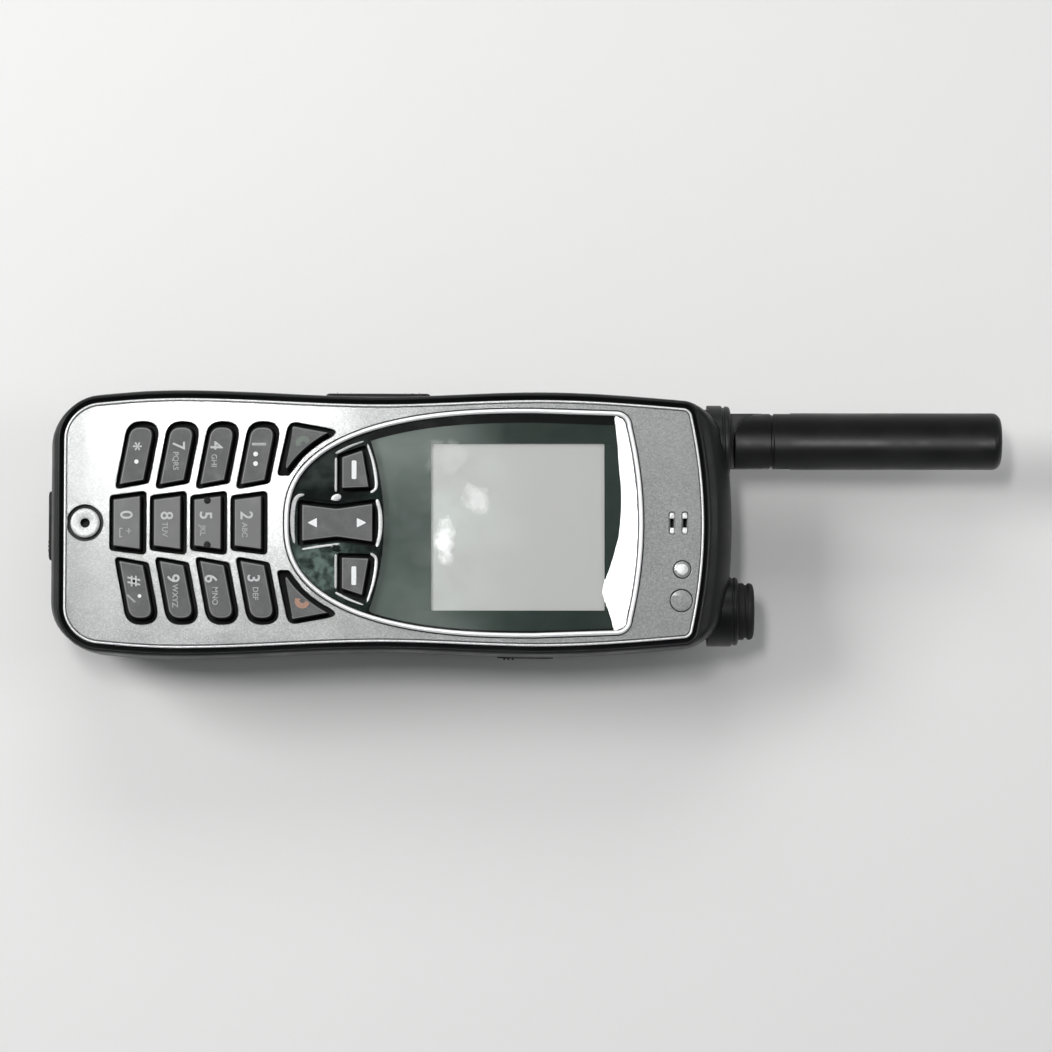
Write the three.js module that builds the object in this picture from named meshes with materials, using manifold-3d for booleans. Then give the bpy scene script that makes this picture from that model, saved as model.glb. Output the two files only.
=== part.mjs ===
// Handheld satellite phone with a pull-out, fold-over antenna.
// Millimetres. +X runs along the phone to its antenna end, +Y to its left side seen from the front,
// and +Z out of the front.
// The origin is on the battery's flat back face, under the middle of the casing.
import * as THREE from "three";
import { mergeVertices } from "three/addons/utils/BufferGeometryUtils.js";
import Module from "manifold-3d";

const wasm = await Module();
wasm.setup();

// ---------- driving dimensions ----------

const GAP = 0.3; // clearance between pieces that are cut to each other
const CASING = { bottom: -71.5, top: 71.5, half: 27, cornerBottom: 10.5, cornerTop: 8.5, bow: 2.4 };
const PLATE = { bottom: -68.2, top: 65.3, half: 25, cornerBottom: 7, cornerTop: 1.4, bow: 2.8 };
const BATTERY = { bottom: -68.6, top: 41, half: 19.3, cornerBottom: 3.5, cornerTop: 0.8, bow: 0 };
// Half width of the silver plate along the phone: broad at the keys, a waist, broad at the display.
const WAIST_AT = [-68, -45, -3, 34, 66];
const WAIST_HALF = [24.4, 26.1, 24.8, 25.7, 23.6];
const WAIST_NOMINAL = 25;

// Heights of the layers, from the back face at 0.
const Z = {
  rearBack: 0.6, rearSkin: 2.8, batteryTop: 8.5, bayFloor: 8.8, bayRoof: 10.1,
  rearSplit: 12.9, frontSplit: 13.3, frontWall: 25.3,
  plateSeat: 27, plateBottom: 27.1, windowTop: 28.4, crest: 28.5, plateTop: 28.6, ringTop: 29.3,
  matBottom: 24.4, matFloor: 25.3, keyBottom: 26, matTop: 26.9, keyTop: 29.9,
};

// The display ring: a superellipse nose towards the keys, round corners and a bowed antenna end.
const RING = {
  nose: -22.3, broadest: 30, half: 23.9, power: 2.5,
  shoulder: 47, shoulderHalf: 23.35, corner: 3.2, tip: 52.6, wall: 1,
};
const WINDOW_STEP = { x: -1.6, radius: 54.2 }; // arc between the key cluster and the display window

const KEY_PITCH = 8.4;
const KEY_GAP = 0.9; // from a key's cap to the edge of its opening
const KEY_CHAMFER = 0.4;
// Openings as x, y, corner radius, in the row nearest the display. Rows repeat every KEY_PITCH.
const SIDE_KEY = [[-32.4, 7, 0.9], [-25.3, 8.3, 0.9], [-22.8, 21.2, 3], [-29.7, 21.2, 3.4]];
const MIDDLE_KEY = [[-33.4, -5.7, 0.9], [-25.8, -6.7, 0.9], [-25.8, 6.7, 0.9], [-33.4, 5.7, 0.9]];
const CALL_KEY = [[-23.8, 9.9, 0.9], [-12.1, 9.9, 0.3], [-12.1, 19.6, 0.8], [-21.3, 21.3, 2.2]];
const SOFT_KEY = [[-11.2, 6.2, 0.6], [-3.5, 6.5, 0.8], [-5.2, 16.4, 0.8], [-11.2, 14.4, 0.6]];
const NAV_KEY = [
  [-19.5, -4.9, 0.8], [-11.3, -3.9, 6], [-2.9, -5.1, 0.8],
  [-2.9, 5.1, 0.8], [-11.3, 3.9, 6], [-19.5, 4.9, 0.8],
];
const CALL_KEY_MARGIN = 1.2; // from the display ring to the call keys' openings

const MIC = { x: -63.8, boss: 2.95, opening: 3.75, hole: 0.7, z0: 25.7, z1: 28.7 };
const MIC_CAPSULE = { radius: 2.2, z0: 24.35, z1: 25.5 };
const EARPIECE = { slots: [58.6, 61.3], slotWidth: 1.3, slotHalf: 2.35 };
const SPEAKER = { x: 60, radius: 4.6, z0: 23.1, z1: 25.1 };
const ROUND_WINDOWS = [
  { name: "status_light_window", x: 60.7, y: -9.7, radius: 1.9 },
  { name: "light_sensor_window", x: 60.5, y: -16.2, radius: 2.4 },
];
const WINDOW_FIT = 0.12; // gap round each small window

// Openings through the front wall, behind the keys and behind the display.
const KEY_WELL = { x0: -58.9, x1: -2.3, half: 22.6, corner: 3 };
const LCD_WELL = { x0: 5.2, x1: 47.8, y0: -20.5, y1: 19.5, corner: 1 };
const LCD_FRAME = { z0: 23.7, floor: 24.6, z1: 26.9, rim: 0.6 };
const LCD = { x0: 7.8, x1: 44.8, y0: -18.6, y1: 17.6, z0: 24.8, z1: 26.7 };

const ANTENNA = {
  y: 18, z: 16.7, radius: 6, bore: 6.25, sleeveRadius: 6.75, sleeveFrom: 9, sleeveTo: 66.2,
  baseRadius: 5.85, baseFrom: 60, baseTo: 71.4, pivot: 77.8, tongueHalf: 1.5, tongueRadius: 5.8,
  earRadius: 5.7, slotHalf: 1.8, slotDepth: 6.3, seam: 80.1, tip: 128.6, tipRound: 1.6,
  pin: 1.4, pinHalf: 4.7,
};
const COLLAR = { from: 66.4, to: 71.3, radius: 7.6 };
const POWER = {
  y: -18, z: 16.7, radius: 6, from: 67.8, to: 76.2, collarRadius: 7.4, collarBore: 6.3, collarTo: 72.8,
  grooveFrom: 74.4, grooveTo: 74.9, grooveDepth: 0.4,
};
const SEAT_FIT = 0.15; // round both collars
const BORE_FLOOR = 66.2; // how deep the collars' seats reach into the casing

const VOLUME = { x0: -14, x1: 8, z0: 14.6, z1: 20.2, corner: 1.8, proud: 0.9, inner: 24.6, gap: 0.35 };
const USB = {
  half: 7.3, z0: 14.4, z1: 19.8, corner: 1.8, proud: 0.8, flap: 1.5,
  plugHalf: 4.2, plugZ: [15.2, 18.2], wall: 0.5,
};
const HEADSET = {
  x: 28, z: 15.9, radius: 2.3, bore: 1.25,
  half: 6, z0: 13.9, z1: 18.1, corner: 2, proud: 0.25, skin: 26.4, flap: 1.4,
};
const PORT = {
  x: 58, y: -7, radius: 3.2, bore: 1.6, z0: 2.1, z1: 9,
  cover: 5, strapHalf: 1.6, strapEnd: -13.6, recess: 1.9,
};
const LATCH = {
  x0: 36, x1: 51.2, radius: 5.6, z0: 0.5, z1: 2.6,
  tongueX: [45, 48], tongueHalf: 3, tongueTop: 5.5,
};
const LATCH_RECESS = { x0: 33.2, x1: 51.8, radius: 6.2, depth: 2.9 };

// Boards, frame and modules inside. Insets are from the casing's outline.
const FRAME = { inset: 3.2, z0: 20.8, z1: 22.8, top: 64, bossRadius: 2.6 };
const FRAME_WINDOW = { x0: -50, x1: -8, half: 16 };
const MAIN_BOARD = { inset: 4.4, z0: 18.4, z1: 19.8, bottom: -65.5, top: 64, screwClear: 2.9 };
const CHIPS = [
  { x0: 38, x1: 50, y0: -16, y1: -6, z0: 17 },
  { x0: -48, x1: -38, y0: -6, y1: 6, z0: 17.2 },
];
const KEY_BOARD = { z0: 23.2, z1: 24.2, bottom: -67, top: 3.5, half: 21 };
const SHIELD = { x0: -28, x1: 4, half: 18, z0: 12.2, z1: 18.2, wall: 0.4 };
const SLEEVE_SIDE = { from: 7, y: 10.4 }; // the boards stop here to leave room for the antenna's sleeve
const SIM = {
  x0: -50, x1: -33, half: 9, z0: 8.9, z1: 11.4,
  slotFrom: -36, slotHalf: 7.8, slotZ: [9.6, 10.5],
};
const TERMINAL = {
  x0: 27.5, x1: 33.5, half: 7.5,
  pads: [-4.5, 0, 4.5], padHalf: 0.8, ribs: [-2.25, 2.25], ribHalf: 0.4,
};
const CONTACTS_Z = [8.9, 13.5];
const TERMINALS_Z = [6.8, 8.4];
const CELL = { inset: 1.8, z0: 1.7, z1: 8.3, top: 26.3 };
const BATTERY_WALL = { side: 1.5, floor: 1.5, top: 26.6, foot: 0.7 };
const SCREW = { head: 2, headHeight: 0.7, shank: 1, lift: 0.05, clear: 0.25 };
const SCREWS = [
  { x: -60, y: 17, deck: Z.bayFloor, boss: 10.4, end: 16 },
  { x: -60, y: -17, deck: Z.bayFloor, boss: 10.4, end: 16 },
  { x: 61, y: 7.5, deck: Z.rearBack, boss: 3.2, end: 9 },
  { x: 61, y: -15.5, deck: Z.rearBack, boss: 3.2, end: 9 },
];

// ---------- from three.js geometry to solids and back ----------

function solidOf(geometry) {
  const bare = geometry.clone();
  bare.deleteAttribute("normal");
  bare.deleteAttribute("uv");
  const merged = mergeVertices(bare, 1e-4);
  return new wasm.Manifold(new wasm.Mesh({
    numProp: 3,
    vertProperties: merged.attributes.position.array,
    triVerts: new Uint32Array(merged.index.array),
  }));
}

function geometryOf(solid) {
  const mesh = solid.getMesh();
  const geometry = new THREE.BufferGeometry();
  geometry.setAttribute("position", new THREE.BufferAttribute(mesh.vertProperties, 3));
  geometry.setIndex(new THREE.BufferAttribute(mesh.triVerts, 1));
  const flat = geometry.toNonIndexed();
  flat.computeVertexNormals();
  return flat;
}

// A prism over an outline in XY. Turned to X the outline is (y, z); turned to Y it is (z, x).
function prism(points, from, to, axis = "z") {
  const shape = new THREE.Shape(points);
  const geometry = new THREE.ExtrudeGeometry(shape, { depth: to - from, bevelEnabled: false });
  geometry.translate(0, 0, from);
  if (axis !== "z") {
    const [x, y, z] = [new THREE.Vector3(1, 0, 0), new THREE.Vector3(0, 1, 0), new THREE.Vector3(0, 0, 1)];
    const turn = new THREE.Matrix4();
    geometry.applyMatrix4(axis === "x" ? turn.makeBasis(y, z, x) : turn.makeBasis(z, x, y));
  }
  return solidOf(geometry);
}

function box(x0, x1, y0, y1, z0, z1) {
  const geometry = new THREE.BoxGeometry(x1 - x0, y1 - y0, z1 - z0);
  return solidOf(geometry.translate((x0 + x1) / 2, (y0 + y1) / 2, (z0 + z1) / 2));
}

function circle(radius, u = 0, v = 0, segments = 24) {
  return Array.from({ length: segments }, (_, i) => {
    const angle = (2 * Math.PI * i) / segments;
    return new THREE.Vector2(u + radius * Math.cos(angle), v + radius * Math.sin(angle));
  });
}

function disc(radius, x, y, z0, z1, segments) {
  return prism(circle(radius, x, y, segments), z0, z1);
}

// A bar of round section along X at the given y and z.
function barX(radius, y, z, x0, x1, segments = 32) {
  return prism(circle(radius, y, z, segments), x0, x1, "x");
}

// A closed solid through outlines that have the same number of points, from the lowest up.
function loft(rings) {
  const count = rings[0].points.length;
  const positions = rings.flatMap(({ z, points }) => points.flatMap((p) => [p.x, p.y, z]));
  const index = [];
  for (let level = 0; level + 1 < rings.length; level++) {
    for (let i = 0; i < count; i++) {
      const here = level * count + i;
      const next = level * count + ((i + 1) % count);
      index.push(here, next, next + count, here, next + count, here + count);
    }
  }
  const last = (rings.length - 1) * count;
  for (const [a, b, c] of THREE.ShapeUtils.triangulateShape(rings[0].points, [])) index.push(a, c, b);
  for (const [a, b, c] of THREE.ShapeUtils.triangulateShape(rings.at(-1).points, [])) {
    index.push(last + a, last + b, last + c);
  }
  const geometry = new THREE.BufferGeometry();
  geometry.setAttribute("position", new THREE.Float32BufferAttribute(positions, 3));
  geometry.setIndex(index);
  return solidOf(geometry);
}

// ---------- outlines ----------

const waist = new THREE.CubicInterpolant(WAIST_AT, WAIST_HALF, 1);

// A rounded rectangle, waisted along its length, with its antenna end bowed outwards. Anticlockwise.
function casingOutline({ bottom, top, half, cornerBottom, cornerTop, bow }) {
  const [ends, corner, side] = [4, 4, 9];
  const path = [];
  path.push([bottom, 0]);
  for (let i = 0; i < corner; i++) {
    const angle = (Math.PI / 2) * (i / corner);
    path.push([
      bottom + cornerBottom * (1 - Math.cos(angle)),
      half - cornerBottom * (1 - Math.sin(angle)),
    ]);
  }
  const [from, to] = [bottom + cornerBottom, top - cornerTop];
  for (let i = 0; i < side; i++) path.push([from + ((to - from) * i) / side, half]);
  for (let i = 0; i < corner; i++) {
    const angle = (Math.PI / 2) * (i / corner);
    path.push([to + cornerTop * Math.sin(angle), half - cornerTop * (1 - Math.cos(angle))]);
  }
  for (let i = 0; i <= ends; i++) path.push([top, (half - cornerTop) * (1 - i / ends)]);
  const upper = path.map(([x, y]) => {
    const bowed = x > 0 ? x - bow * (y / half) ** 2 * THREE.MathUtils.smoothstep(x, to - 12, top) : x;
    return new THREE.Vector2(bowed, (y * waist.evaluate(bowed)[0]) / WAIST_NOMINAL);
  });
  const lower = upper.slice(1, -1).map((p) => new THREE.Vector2(p.x, -p.y));
  return [...lower, upper.at(-1), ...upper.slice(0, -1).reverse()];
}

// The same outline drawn further in at its sides, its bottom end and its antenna end.
function insetOutline(plan, side, bottom = side, top = side) {
  return casingOutline({
    ...plan,
    bottom: plan.bottom + bottom,
    top: plan.top - top,
    half: plan.half - side,
    cornerBottom: Math.max(0.5, plan.cornerBottom - side),
    cornerTop: Math.max(0.5, plan.cornerTop - side),
  });
}

function casingAt(side, bottom, top) {
  return insetOutline(CASING, side, bottom, top);
}

// Moves every edge of an anticlockwise outline outwards, or inwards for a negative distance.
function offset(points, distance) {
  const outward = (p, q) => new THREE.Vector2(q.y - p.y, p.x - q.x).normalize();
  return points.map((p, i) => {
    const before = outward(points.at(i - 1), p);
    const after = outward(p, points[(i + 1) % points.length]);
    const mitre = before.clone().add(after).normalize();
    return p.clone().addScaledVector(mitre, distance / mitre.dot(before));
  });
}

function mix(a, b, share) {
  return a.map((p, i) => p.clone().lerp(b[i], share));
}

// The display ring's outline: a superellipse nose, then a round corner and a bowed end on each side.
function ringOutline(distance = 0) {
  const nose = [];
  const steps = 16;
  for (let i = 1; i <= steps; i++) {
    const angle = (Math.PI / 2) * (i / steps);
    const reach = RING.broadest - RING.nose;
    nose.push(new THREE.Vector2(
      RING.broadest - reach * Math.cos(angle) ** (2 / RING.power),
      RING.half * Math.sin(angle) ** (2 / RING.power),
    ));
  }
  const cornerX = RING.shoulder + RING.corner;
  const sag = RING.tip - cornerX;
  const top = [...nose];
  for (let i = 0; i <= 5; i++) {
    const angle = (Math.PI / 2) * (i / 5);
    top.push(new THREE.Vector2(
      RING.shoulder + RING.corner * Math.sin(angle),
      RING.shoulderHalf - RING.corner * (1 - Math.cos(angle)),
    ));
  }
  const end = RING.shoulderHalf - RING.corner;
  for (let i = 1; i < 6; i++) {
    const y = end * (1 - i / 6);
    top.push(new THREE.Vector2(cornerX + sag * (1 - (y / end) ** 2), y));
  }
  const bottom = top.map((p) => new THREE.Vector2(p.x, -p.y));
  const outline = [
    new THREE.Vector2(RING.nose, 0), ...bottom, new THREE.Vector2(RING.tip, 0), ...top.reverse(),
  ];
  return distance ? offset(outline, distance) : outline;
}

// A polygon of x, y, corner radius, drawn inwards by a distance, with its corners rounded.
function keyOutline(corners, inset = 0, shiftX = 0, mirror = false) {
  const sign = mirror ? -1 : 1;
  const turned = corners.map(([x, y]) => new THREE.Vector2(x + shiftX, y * sign));
  const radii = corners.map((corner) => Math.max(0.3, corner[2] - inset));
  if (mirror) {
    turned.reverse();
    radii.reverse();
  }
  const points = offset(turned, -inset);
  const shape = new THREE.Shape();
  points.forEach((p, i) => {
    const before = points.at(i - 1).clone().sub(p).normalize();
    const after = points[(i + 1) % points.length].clone().sub(p).normalize();
    const reach = radii[i] / Math.tan(before.angleTo(after) / 2);
    const start = p.clone().addScaledVector(before, reach);
    const end = p.clone().addScaledVector(after, reach);
    if (i === 0) shape.moveTo(start.x, start.y);
    else shape.lineTo(start.x, start.y);
    shape.quadraticCurveTo(p.x, p.y, end.x, end.y);
  });
  const drawn = shape.getPoints(3);
  return drawn.filter((p, i) => p.distanceTo(drawn.at(i - 1)) > 1e-3);
}

function slot(x0, x1, y0, y1, radius) {
  return keyOutline([[x0, y0, radius], [x1, y0, radius], [x1, y1, radius], [x0, y1, radius]]);
}

// ---------- keys ----------

const ROWS = ["1 2 3", "4 5 6", "7 8 9", "star 0 hash"].map((row) => row.split(" "));

// Every key as its name and a function from an inset to its outline: 0 for the opening, KEY_GAP for the cap.
const digitKeys = ROWS.flatMap(([left, middle, right], row) => {
  const shift = -KEY_PITCH * row;
  return [
    { name: `key_${left}`, outline: (inset) => keyOutline(SIDE_KEY, inset, shift) },
    { name: `key_${middle}`, outline: (inset) => keyOutline(MIDDLE_KEY, inset, shift) },
    { name: `key_${right}`, outline: (inset) => keyOutline(SIDE_KEY, inset, shift, true) },
  ];
});
const callKeys = [
  { name: "key_send", outline: (inset) => keyOutline(CALL_KEY, inset) },
  { name: "key_end", outline: (inset) => keyOutline(CALL_KEY, inset, 0, true) },
];
const clusterKeys = [
  { name: "key_soft_left", outline: (inset) => keyOutline(SOFT_KEY, inset), top: 29.5 },
  { name: "key_soft_right", outline: (inset) => keyOutline(SOFT_KEY, inset, 0, true), top: 29.5 },
  { name: "nav_rocker", outline: (inset) => keyOutline(NAV_KEY, inset), top: 29.6 },
];

function keySolid(key, inset, z0, z1) {
  const solid = prism(key.outline(inset), z0, z1);
  return callKeys.includes(key) ? solid.subtract(callKeyEdge(inset)) : solid;
}

// The call keys' long edge follows the display ring.
function callKeyEdge(inset) {
  return prism(ringOutline(CALL_KEY_MARGIN + inset), 20, 35);
}

function keyCap(key) {
  const top = key.top ?? Z.keyTop;
  const cap = loft([
    { z: Z.keyBottom, points: key.outline(KEY_GAP) },
    { z: top - KEY_CHAMFER, points: key.outline(KEY_GAP) },
    { z: top, points: key.outline(KEY_GAP + KEY_CHAMFER) },
  ]);
  return callKeys.includes(key) ? cap.subtract(callKeyEdge(KEY_GAP)) : cap;
}

function openings(keys, z0, z1) {
  return keys.map((key) => keySolid(key, 0, z0, z1));
}

// ---------- casing ----------

// The front half's outer skin, grown out by a distance where a cover or side key stands proud of it.
function frontSkin(proud = 0) {
  const body = offset(casingAt(0), proud);
  const crest = offset(casingOutline(PLATE), 1.4 + proud);
  return loft([
    { z: Z.frontSplit, points: offset(casingAt(0.1), proud) },
    { z: 16.5, points: body },
    { z: 20, points: body },
    { z: 23.5, points: mix(body, crest, 0.13) },
    { z: 25.8, points: mix(body, crest, 0.38) },
    { z: 27.2, points: mix(body, crest, 0.7) },
    { z: 27.9, points: crest },
    { z: Z.crest, points: offset(crest, -0.7) },
  ]);
}

function sleeveSeat() {
  return barX(ANTENNA.sleeveRadius + 0.2, ANTENNA.y, ANTENNA.z, ANTENNA.sleeveFrom - GAP, 80);
}

function collarSeats() {
  return [
    barX(COLLAR.radius + SEAT_FIT, ANTENNA.y, ANTENNA.z, BORE_FLOOR, 80),
    barX(POWER.collarRadius + SEAT_FIT, POWER.y, POWER.z, BORE_FLOOR, 80),
    sleeveSeat(),
  ];
}

// Outlines of the side key and the covers, grown by the clearance for their openings.
function volumeOutline(grow) {
  const { x0, x1, z0, z1, corner } = VOLUME;
  return slot(z0 - grow, z1 + grow, x0 - grow, x1 + grow, corner);
}

function headsetOutline(grow) {
  const { x, half, z0, z1, corner } = HEADSET;
  return slot(z0 - grow, z1 + grow, x - half - grow, x + half + grow, corner);
}

function usbOutline(grow) {
  const { half, z0, z1, corner } = USB;
  return slot(-half - grow, half + grow, z0 - grow, z1 + grow, corner);
}

function portPlan(grow, z0, z1) {
  const half = PORT.strapHalf + grow;
  return disc(PORT.cover + grow, PORT.x, PORT.y, z0, z1)
    .add(box(PORT.x - half, PORT.x + half, PORT.strapEnd - grow * 1.5, PORT.y, z0, z1));
}

function frontWallCuts() {
  const [low, high] = [Z.frontWall - 1.3, Z.plateSeat + 1];
  const half = EARPIECE.slotWidth / 2;
  return [
    prism(slot(KEY_WELL.x0, KEY_WELL.x1, -KEY_WELL.half, KEY_WELL.half, KEY_WELL.corner), low, high),
    prism(slot(LCD_WELL.x0, LCD_WELL.x1, LCD_WELL.y0, LCD_WELL.y1, LCD_WELL.corner), low, high),
    disc(MIC.opening, MIC.x, 0, low, high),
    ...EARPIECE.slots.map((x) => (
      box(x - half, x + half, -EARPIECE.slotHalf, EARPIECE.slotHalf, low, high)
    )),
    ...ROUND_WINDOWS.map(({ x, y, radius }) => disc(radius - 0.5, x, y, low, high, 16)),
  ];
}

function frontHousing() {
  const cavity = loft([
    { z: Z.frontSplit - 1, points: casingAt(2.2) },
    { z: 20, points: casingAt(2.3) },
    { z: Z.frontWall, points: insetOutline(PLATE, 0.6) },
  ]);
  const usbHole = slot(-USB.plugHalf - 0.4, USB.plugHalf + 0.4, USB.plugZ[0] - 0.2, USB.plugZ[1] + 0.2, 0.6);
  const cuts = [
    cavity,
    prism(offset(casingOutline(PLATE), 0.2), Z.plateSeat, 32),
    ...frontWallCuts(),
    prism(volumeOutline(VOLUME.gap), 23, 30, "y"),
    prism(usbHole, -75, -66, "x"),
    prism(usbOutline(GAP), -75, CASING.bottom + USB.flap + 0.2, "x"),
    prism(headsetOutline(GAP), -30, HEADSET.flap + 0.2 - HEADSET.skin, "y"),
    prism(circle(HEADSET.radius + 0.2, HEADSET.z, HEADSET.x), -30, -20, "y"),
    ...collarSeats(),
  ];
  return cuts.reduce((housing, cut) => housing.subtract(cut), frontSkin());
}

function rearSkin() {
  return loft([
    { z: Z.rearBack, points: casingAt(6, 1.6, 4.6) },
    { z: 1.6, points: casingAt(4, 1, 3) },
    { z: 4, points: casingAt(2, 0.5, 1.5) },
    { z: 8, points: casingAt(0.8, 0.2, 0.5) },
    { z: Z.rearSplit, points: casingAt(0.1) },
  ]);
}

function screwSeat({ x, y, deck }) {
  const { head, headHeight, shank, clear } = SCREW;
  return disc(head + clear, x, y, deck - 1, deck + headHeight + clear, 16)
    .add(disc(shank + clear, x, y, deck, deck + 3, 12));
}

function rearHousing() {
  const overBattery = prism(casingAt(2.3), Z.bayRoof, 14);
  const overBack = loft([
    { z: Z.rearSkin, points: casingAt(6.2, 4, 6) },
    { z: 6, points: casingAt(3.6, 3, 4) },
    { z: Z.bayRoof + 0.1, points: casingAt(2.4, 2.4, 3) },
  ]).intersect(box(LATCH_RECESS.x1 + 1, 80, -40, 40, 0, 20));
  const latchSlot = LATCH.tongueHalf + 0.4;
  const latchTravel = box(LATCH.tongueX[0] - 3, LATCH.tongueX[1] + 1, -latchSlot, latchSlot, 2, 7);
  const cuts = [
    overBattery,
    overBack,
    prism(offset(casingOutline(BATTERY), GAP), -1, Z.bayFloor),
    latchRecess(),
    latchTravel,
    box(SIM.x0 - GAP, SIM.x1 + GAP, -SIM.half - GAP, SIM.half + GAP, 8, 11),
    box(TERMINAL.x0 - GAP, TERMINAL.x1 + GAP, -TERMINAL.half - GAP, TERMINAL.half + GAP, 8, 11),
    portPlan(GAP, 0, PORT.recess),
    disc(PORT.radius + 0.2, PORT.x, PORT.y, 0, 4),
    ...SCREWS.map(screwSeat),
    ...collarSeats(),
  ];
  return cuts.reduce((housing, cut) => housing.subtract(cut), rearSkin());
}

function gasket() {
  return prism(casingAt(0.6), Z.rearSplit + 0.07, Z.frontSplit - 0.07)
    .subtract(prism(casingAt(1.8), 12, 14))
    .intersect(box(-80, 62, -40, 40, 0, 20))
    .subtract(sleeveSeat());
}

function facePlate() {
  const [low, high] = [Z.plateBottom - 1, Z.plateTop + 1];
  const half = EARPIECE.slotWidth / 2;
  const cuts = [
    ...openings([...digitKeys, ...callKeys], low, high),
    prism(ringOutline(0.15), low, high),
    disc(MIC.opening, MIC.x, 0, low, high),
    ...EARPIECE.slots.map((x) => prism(
      slot(x - half, x + half, -EARPIECE.slotHalf, EARPIECE.slotHalf, 0.6), low, high,
    )),
    ...ROUND_WINDOWS.map(({ x, y, radius }) => disc(radius, x, y, low, high, 20)),
  ];
  const blank = prism(casingOutline(PLATE), Z.plateBottom, Z.plateTop);
  return cuts.reduce((plate, cut) => plate.subtract(cut), blank);
}

// ---------- display and key cluster ----------

function displayRing() {
  return prism(ringOutline(), Z.plateBottom, Z.ringTop)
    .subtract(prism(ringOutline(-RING.wall), 20, 32));
}

// The area inside the display ring, which the window and the key bezel share along one arc.
function insideRing(top) {
  return prism(ringOutline(-RING.wall - 0.15), Z.plateBottom + 0.1, top);
}

function clusterSide(radius) {
  return prism(circle(radius, WINDOW_STEP.x - WINDOW_STEP.radius, 0, 128), 26, 30);
}

function displayWindow() {
  return insideRing(Z.windowTop).subtract(clusterSide(WINDOW_STEP.radius));
}

function navBezel() {
  const blank = insideRing(Z.plateTop).intersect(clusterSide(WINDOW_STEP.radius - GAP));
  return openings(clusterKeys, 26, 30).reduce((bezel, cut) => bezel.subtract(cut), blank);
}

function lcdFrame() {
  const { rim, z0, z1, floor } = LCD_FRAME;
  return box(LCD_WELL.x0 + GAP, LCD_WELL.x1 - GAP, LCD_WELL.y0 + GAP, LCD_WELL.y1 - GAP, z0, z1)
    .subtract(box(LCD.x0 - rim, LCD.x1 + rim, LCD.y0 - rim, LCD.y1 + rim, floor, 28));
}

function lcdPanel() {
  return box(LCD.x0, LCD.x1, LCD.y0, LCD.y1, LCD.z0, LCD.z1);
}

function micBoss() {
  return disc(MIC.boss, MIC.x, 0, MIC.z0, MIC.z1).subtract(disc(MIC.hole, MIC.x, 0, 20, 30, 12));
}

// ---------- keypad ----------

function keypadMat() {
  const { x0, x1, half, corner } = KEY_WELL;
  const blank = prism(slot(x0 + GAP, x1 - GAP, GAP - half, half - GAP, corner), Z.matBottom, Z.matTop);
  return openings([...digitKeys, ...callKeys, ...clusterKeys], Z.matFloor, 30)
    .reduce((mat, cut) => mat.subtract(cut), blank);
}

// ---------- inside ----------

function sleeveSide() {
  return box(SLEEVE_SIDE.from, 80, SLEEVE_SIDE.y, 40, 0, 40);
}

function chassis() {
  const { inset, z0, z1, top, bossRadius } = FRAME;
  const sheet = prism(casingAt(inset), z0, z1).intersect(box(-80, top, -40, 40, 0, 40));
  const window = box(FRAME_WINDOW.x0, FRAME_WINDOW.x1, -FRAME_WINDOW.half, FRAME_WINDOW.half, 20, 24);
  const bosses = SCREWS.map(({ x, y, boss }) => disc(bossRadius, x, y, boss, z0 + 0.5, 16));
  const holes = SCREWS.map(({ x, y, end }) => disc(SCREW.shank + 0.15, x, y, 0, end + 0.5, 12));
  const trimmed = sheet.subtract(sleeveSide()).subtract(window);
  const solid = bosses.reduce((frame, boss) => frame.add(boss), trimmed);
  return holes.reduce((frame, hole) => frame.subtract(hole), solid);
}

function mainBoard() {
  const { inset, z0, z1, bottom, top, screwClear } = MAIN_BOARD;
  const board = prism(casingAt(inset), z0, z1)
    .intersect(box(bottom, top, -40, 40, 0, 40))
    .subtract(sleeveSide());
  const holes = SCREWS.map(({ x, y }) => disc(screwClear, x, y, 15, 25, 16));
  const drilled = holes.reduce((plate, hole) => plate.subtract(hole), board);
  return CHIPS.reduce((plate, c) => plate.add(box(c.x0, c.x1, c.y0, c.y1, c.z0, z0 + 0.5)), drilled);
}

function shieldCan() {
  const { x0, x1, half, z0, z1, wall } = SHIELD;
  return box(x0, x1, -half, half, z0, z1)
    .subtract(box(x0 + wall, x1 - wall, wall - half, half - wall, z0 + wall, z1 + 1));
}

function keyBoard() {
  const { z0, z1, bottom, top, half } = KEY_BOARD;
  return prism(casingAt(MAIN_BOARD.inset), z0, z1).intersect(box(bottom, top, -half, half, 0, 40));
}

function usbConnector() {
  const { plugHalf, plugZ, wall } = USB;
  return box(-69.3, -62, -plugHalf, plugHalf, plugZ[0], plugZ[1])
    .subtract(box(-70, -64, wall - plugHalf, plugHalf - wall, plugZ[0] + wall, plugZ[1] - wall));
}

function headsetJack() {
  const { x, z, radius, bore } = HEADSET;
  return prism(circle(radius, z, x, 20), -24.2, -13, "y")
    .subtract(prism(circle(bore, z, x, 16), -26, -15, "y"));
}

function antennaPort() {
  const { x, y, radius, bore, z0, z1 } = PORT;
  return disc(radius, x, y, z0, z1, 20).subtract(disc(bore, x, y, z0 - 1, z1 - 2, 16));
}

function simHolder() {
  const { x0, x1, half, z0, z1, slotFrom, slotHalf, slotZ } = SIM;
  return box(x0, x1, -half, half, z0, z1)
    .subtract(box(x0 - 1, slotFrom, -slotHalf, slotHalf, slotZ[0], slotZ[1]));
}

function batteryContacts() {
  const { x0, x1, half, pads, padHalf } = TERMINAL;
  const [low, high] = CONTACTS_Z;
  return pads.reduce(
    (block, y) => block.subtract(box(x0 + 1, x1 - 1, y - padHalf, y + padHalf, low - 1, low + 0.9)),
    box(x0, x1, -half, half, low, high),
  );
}

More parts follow.
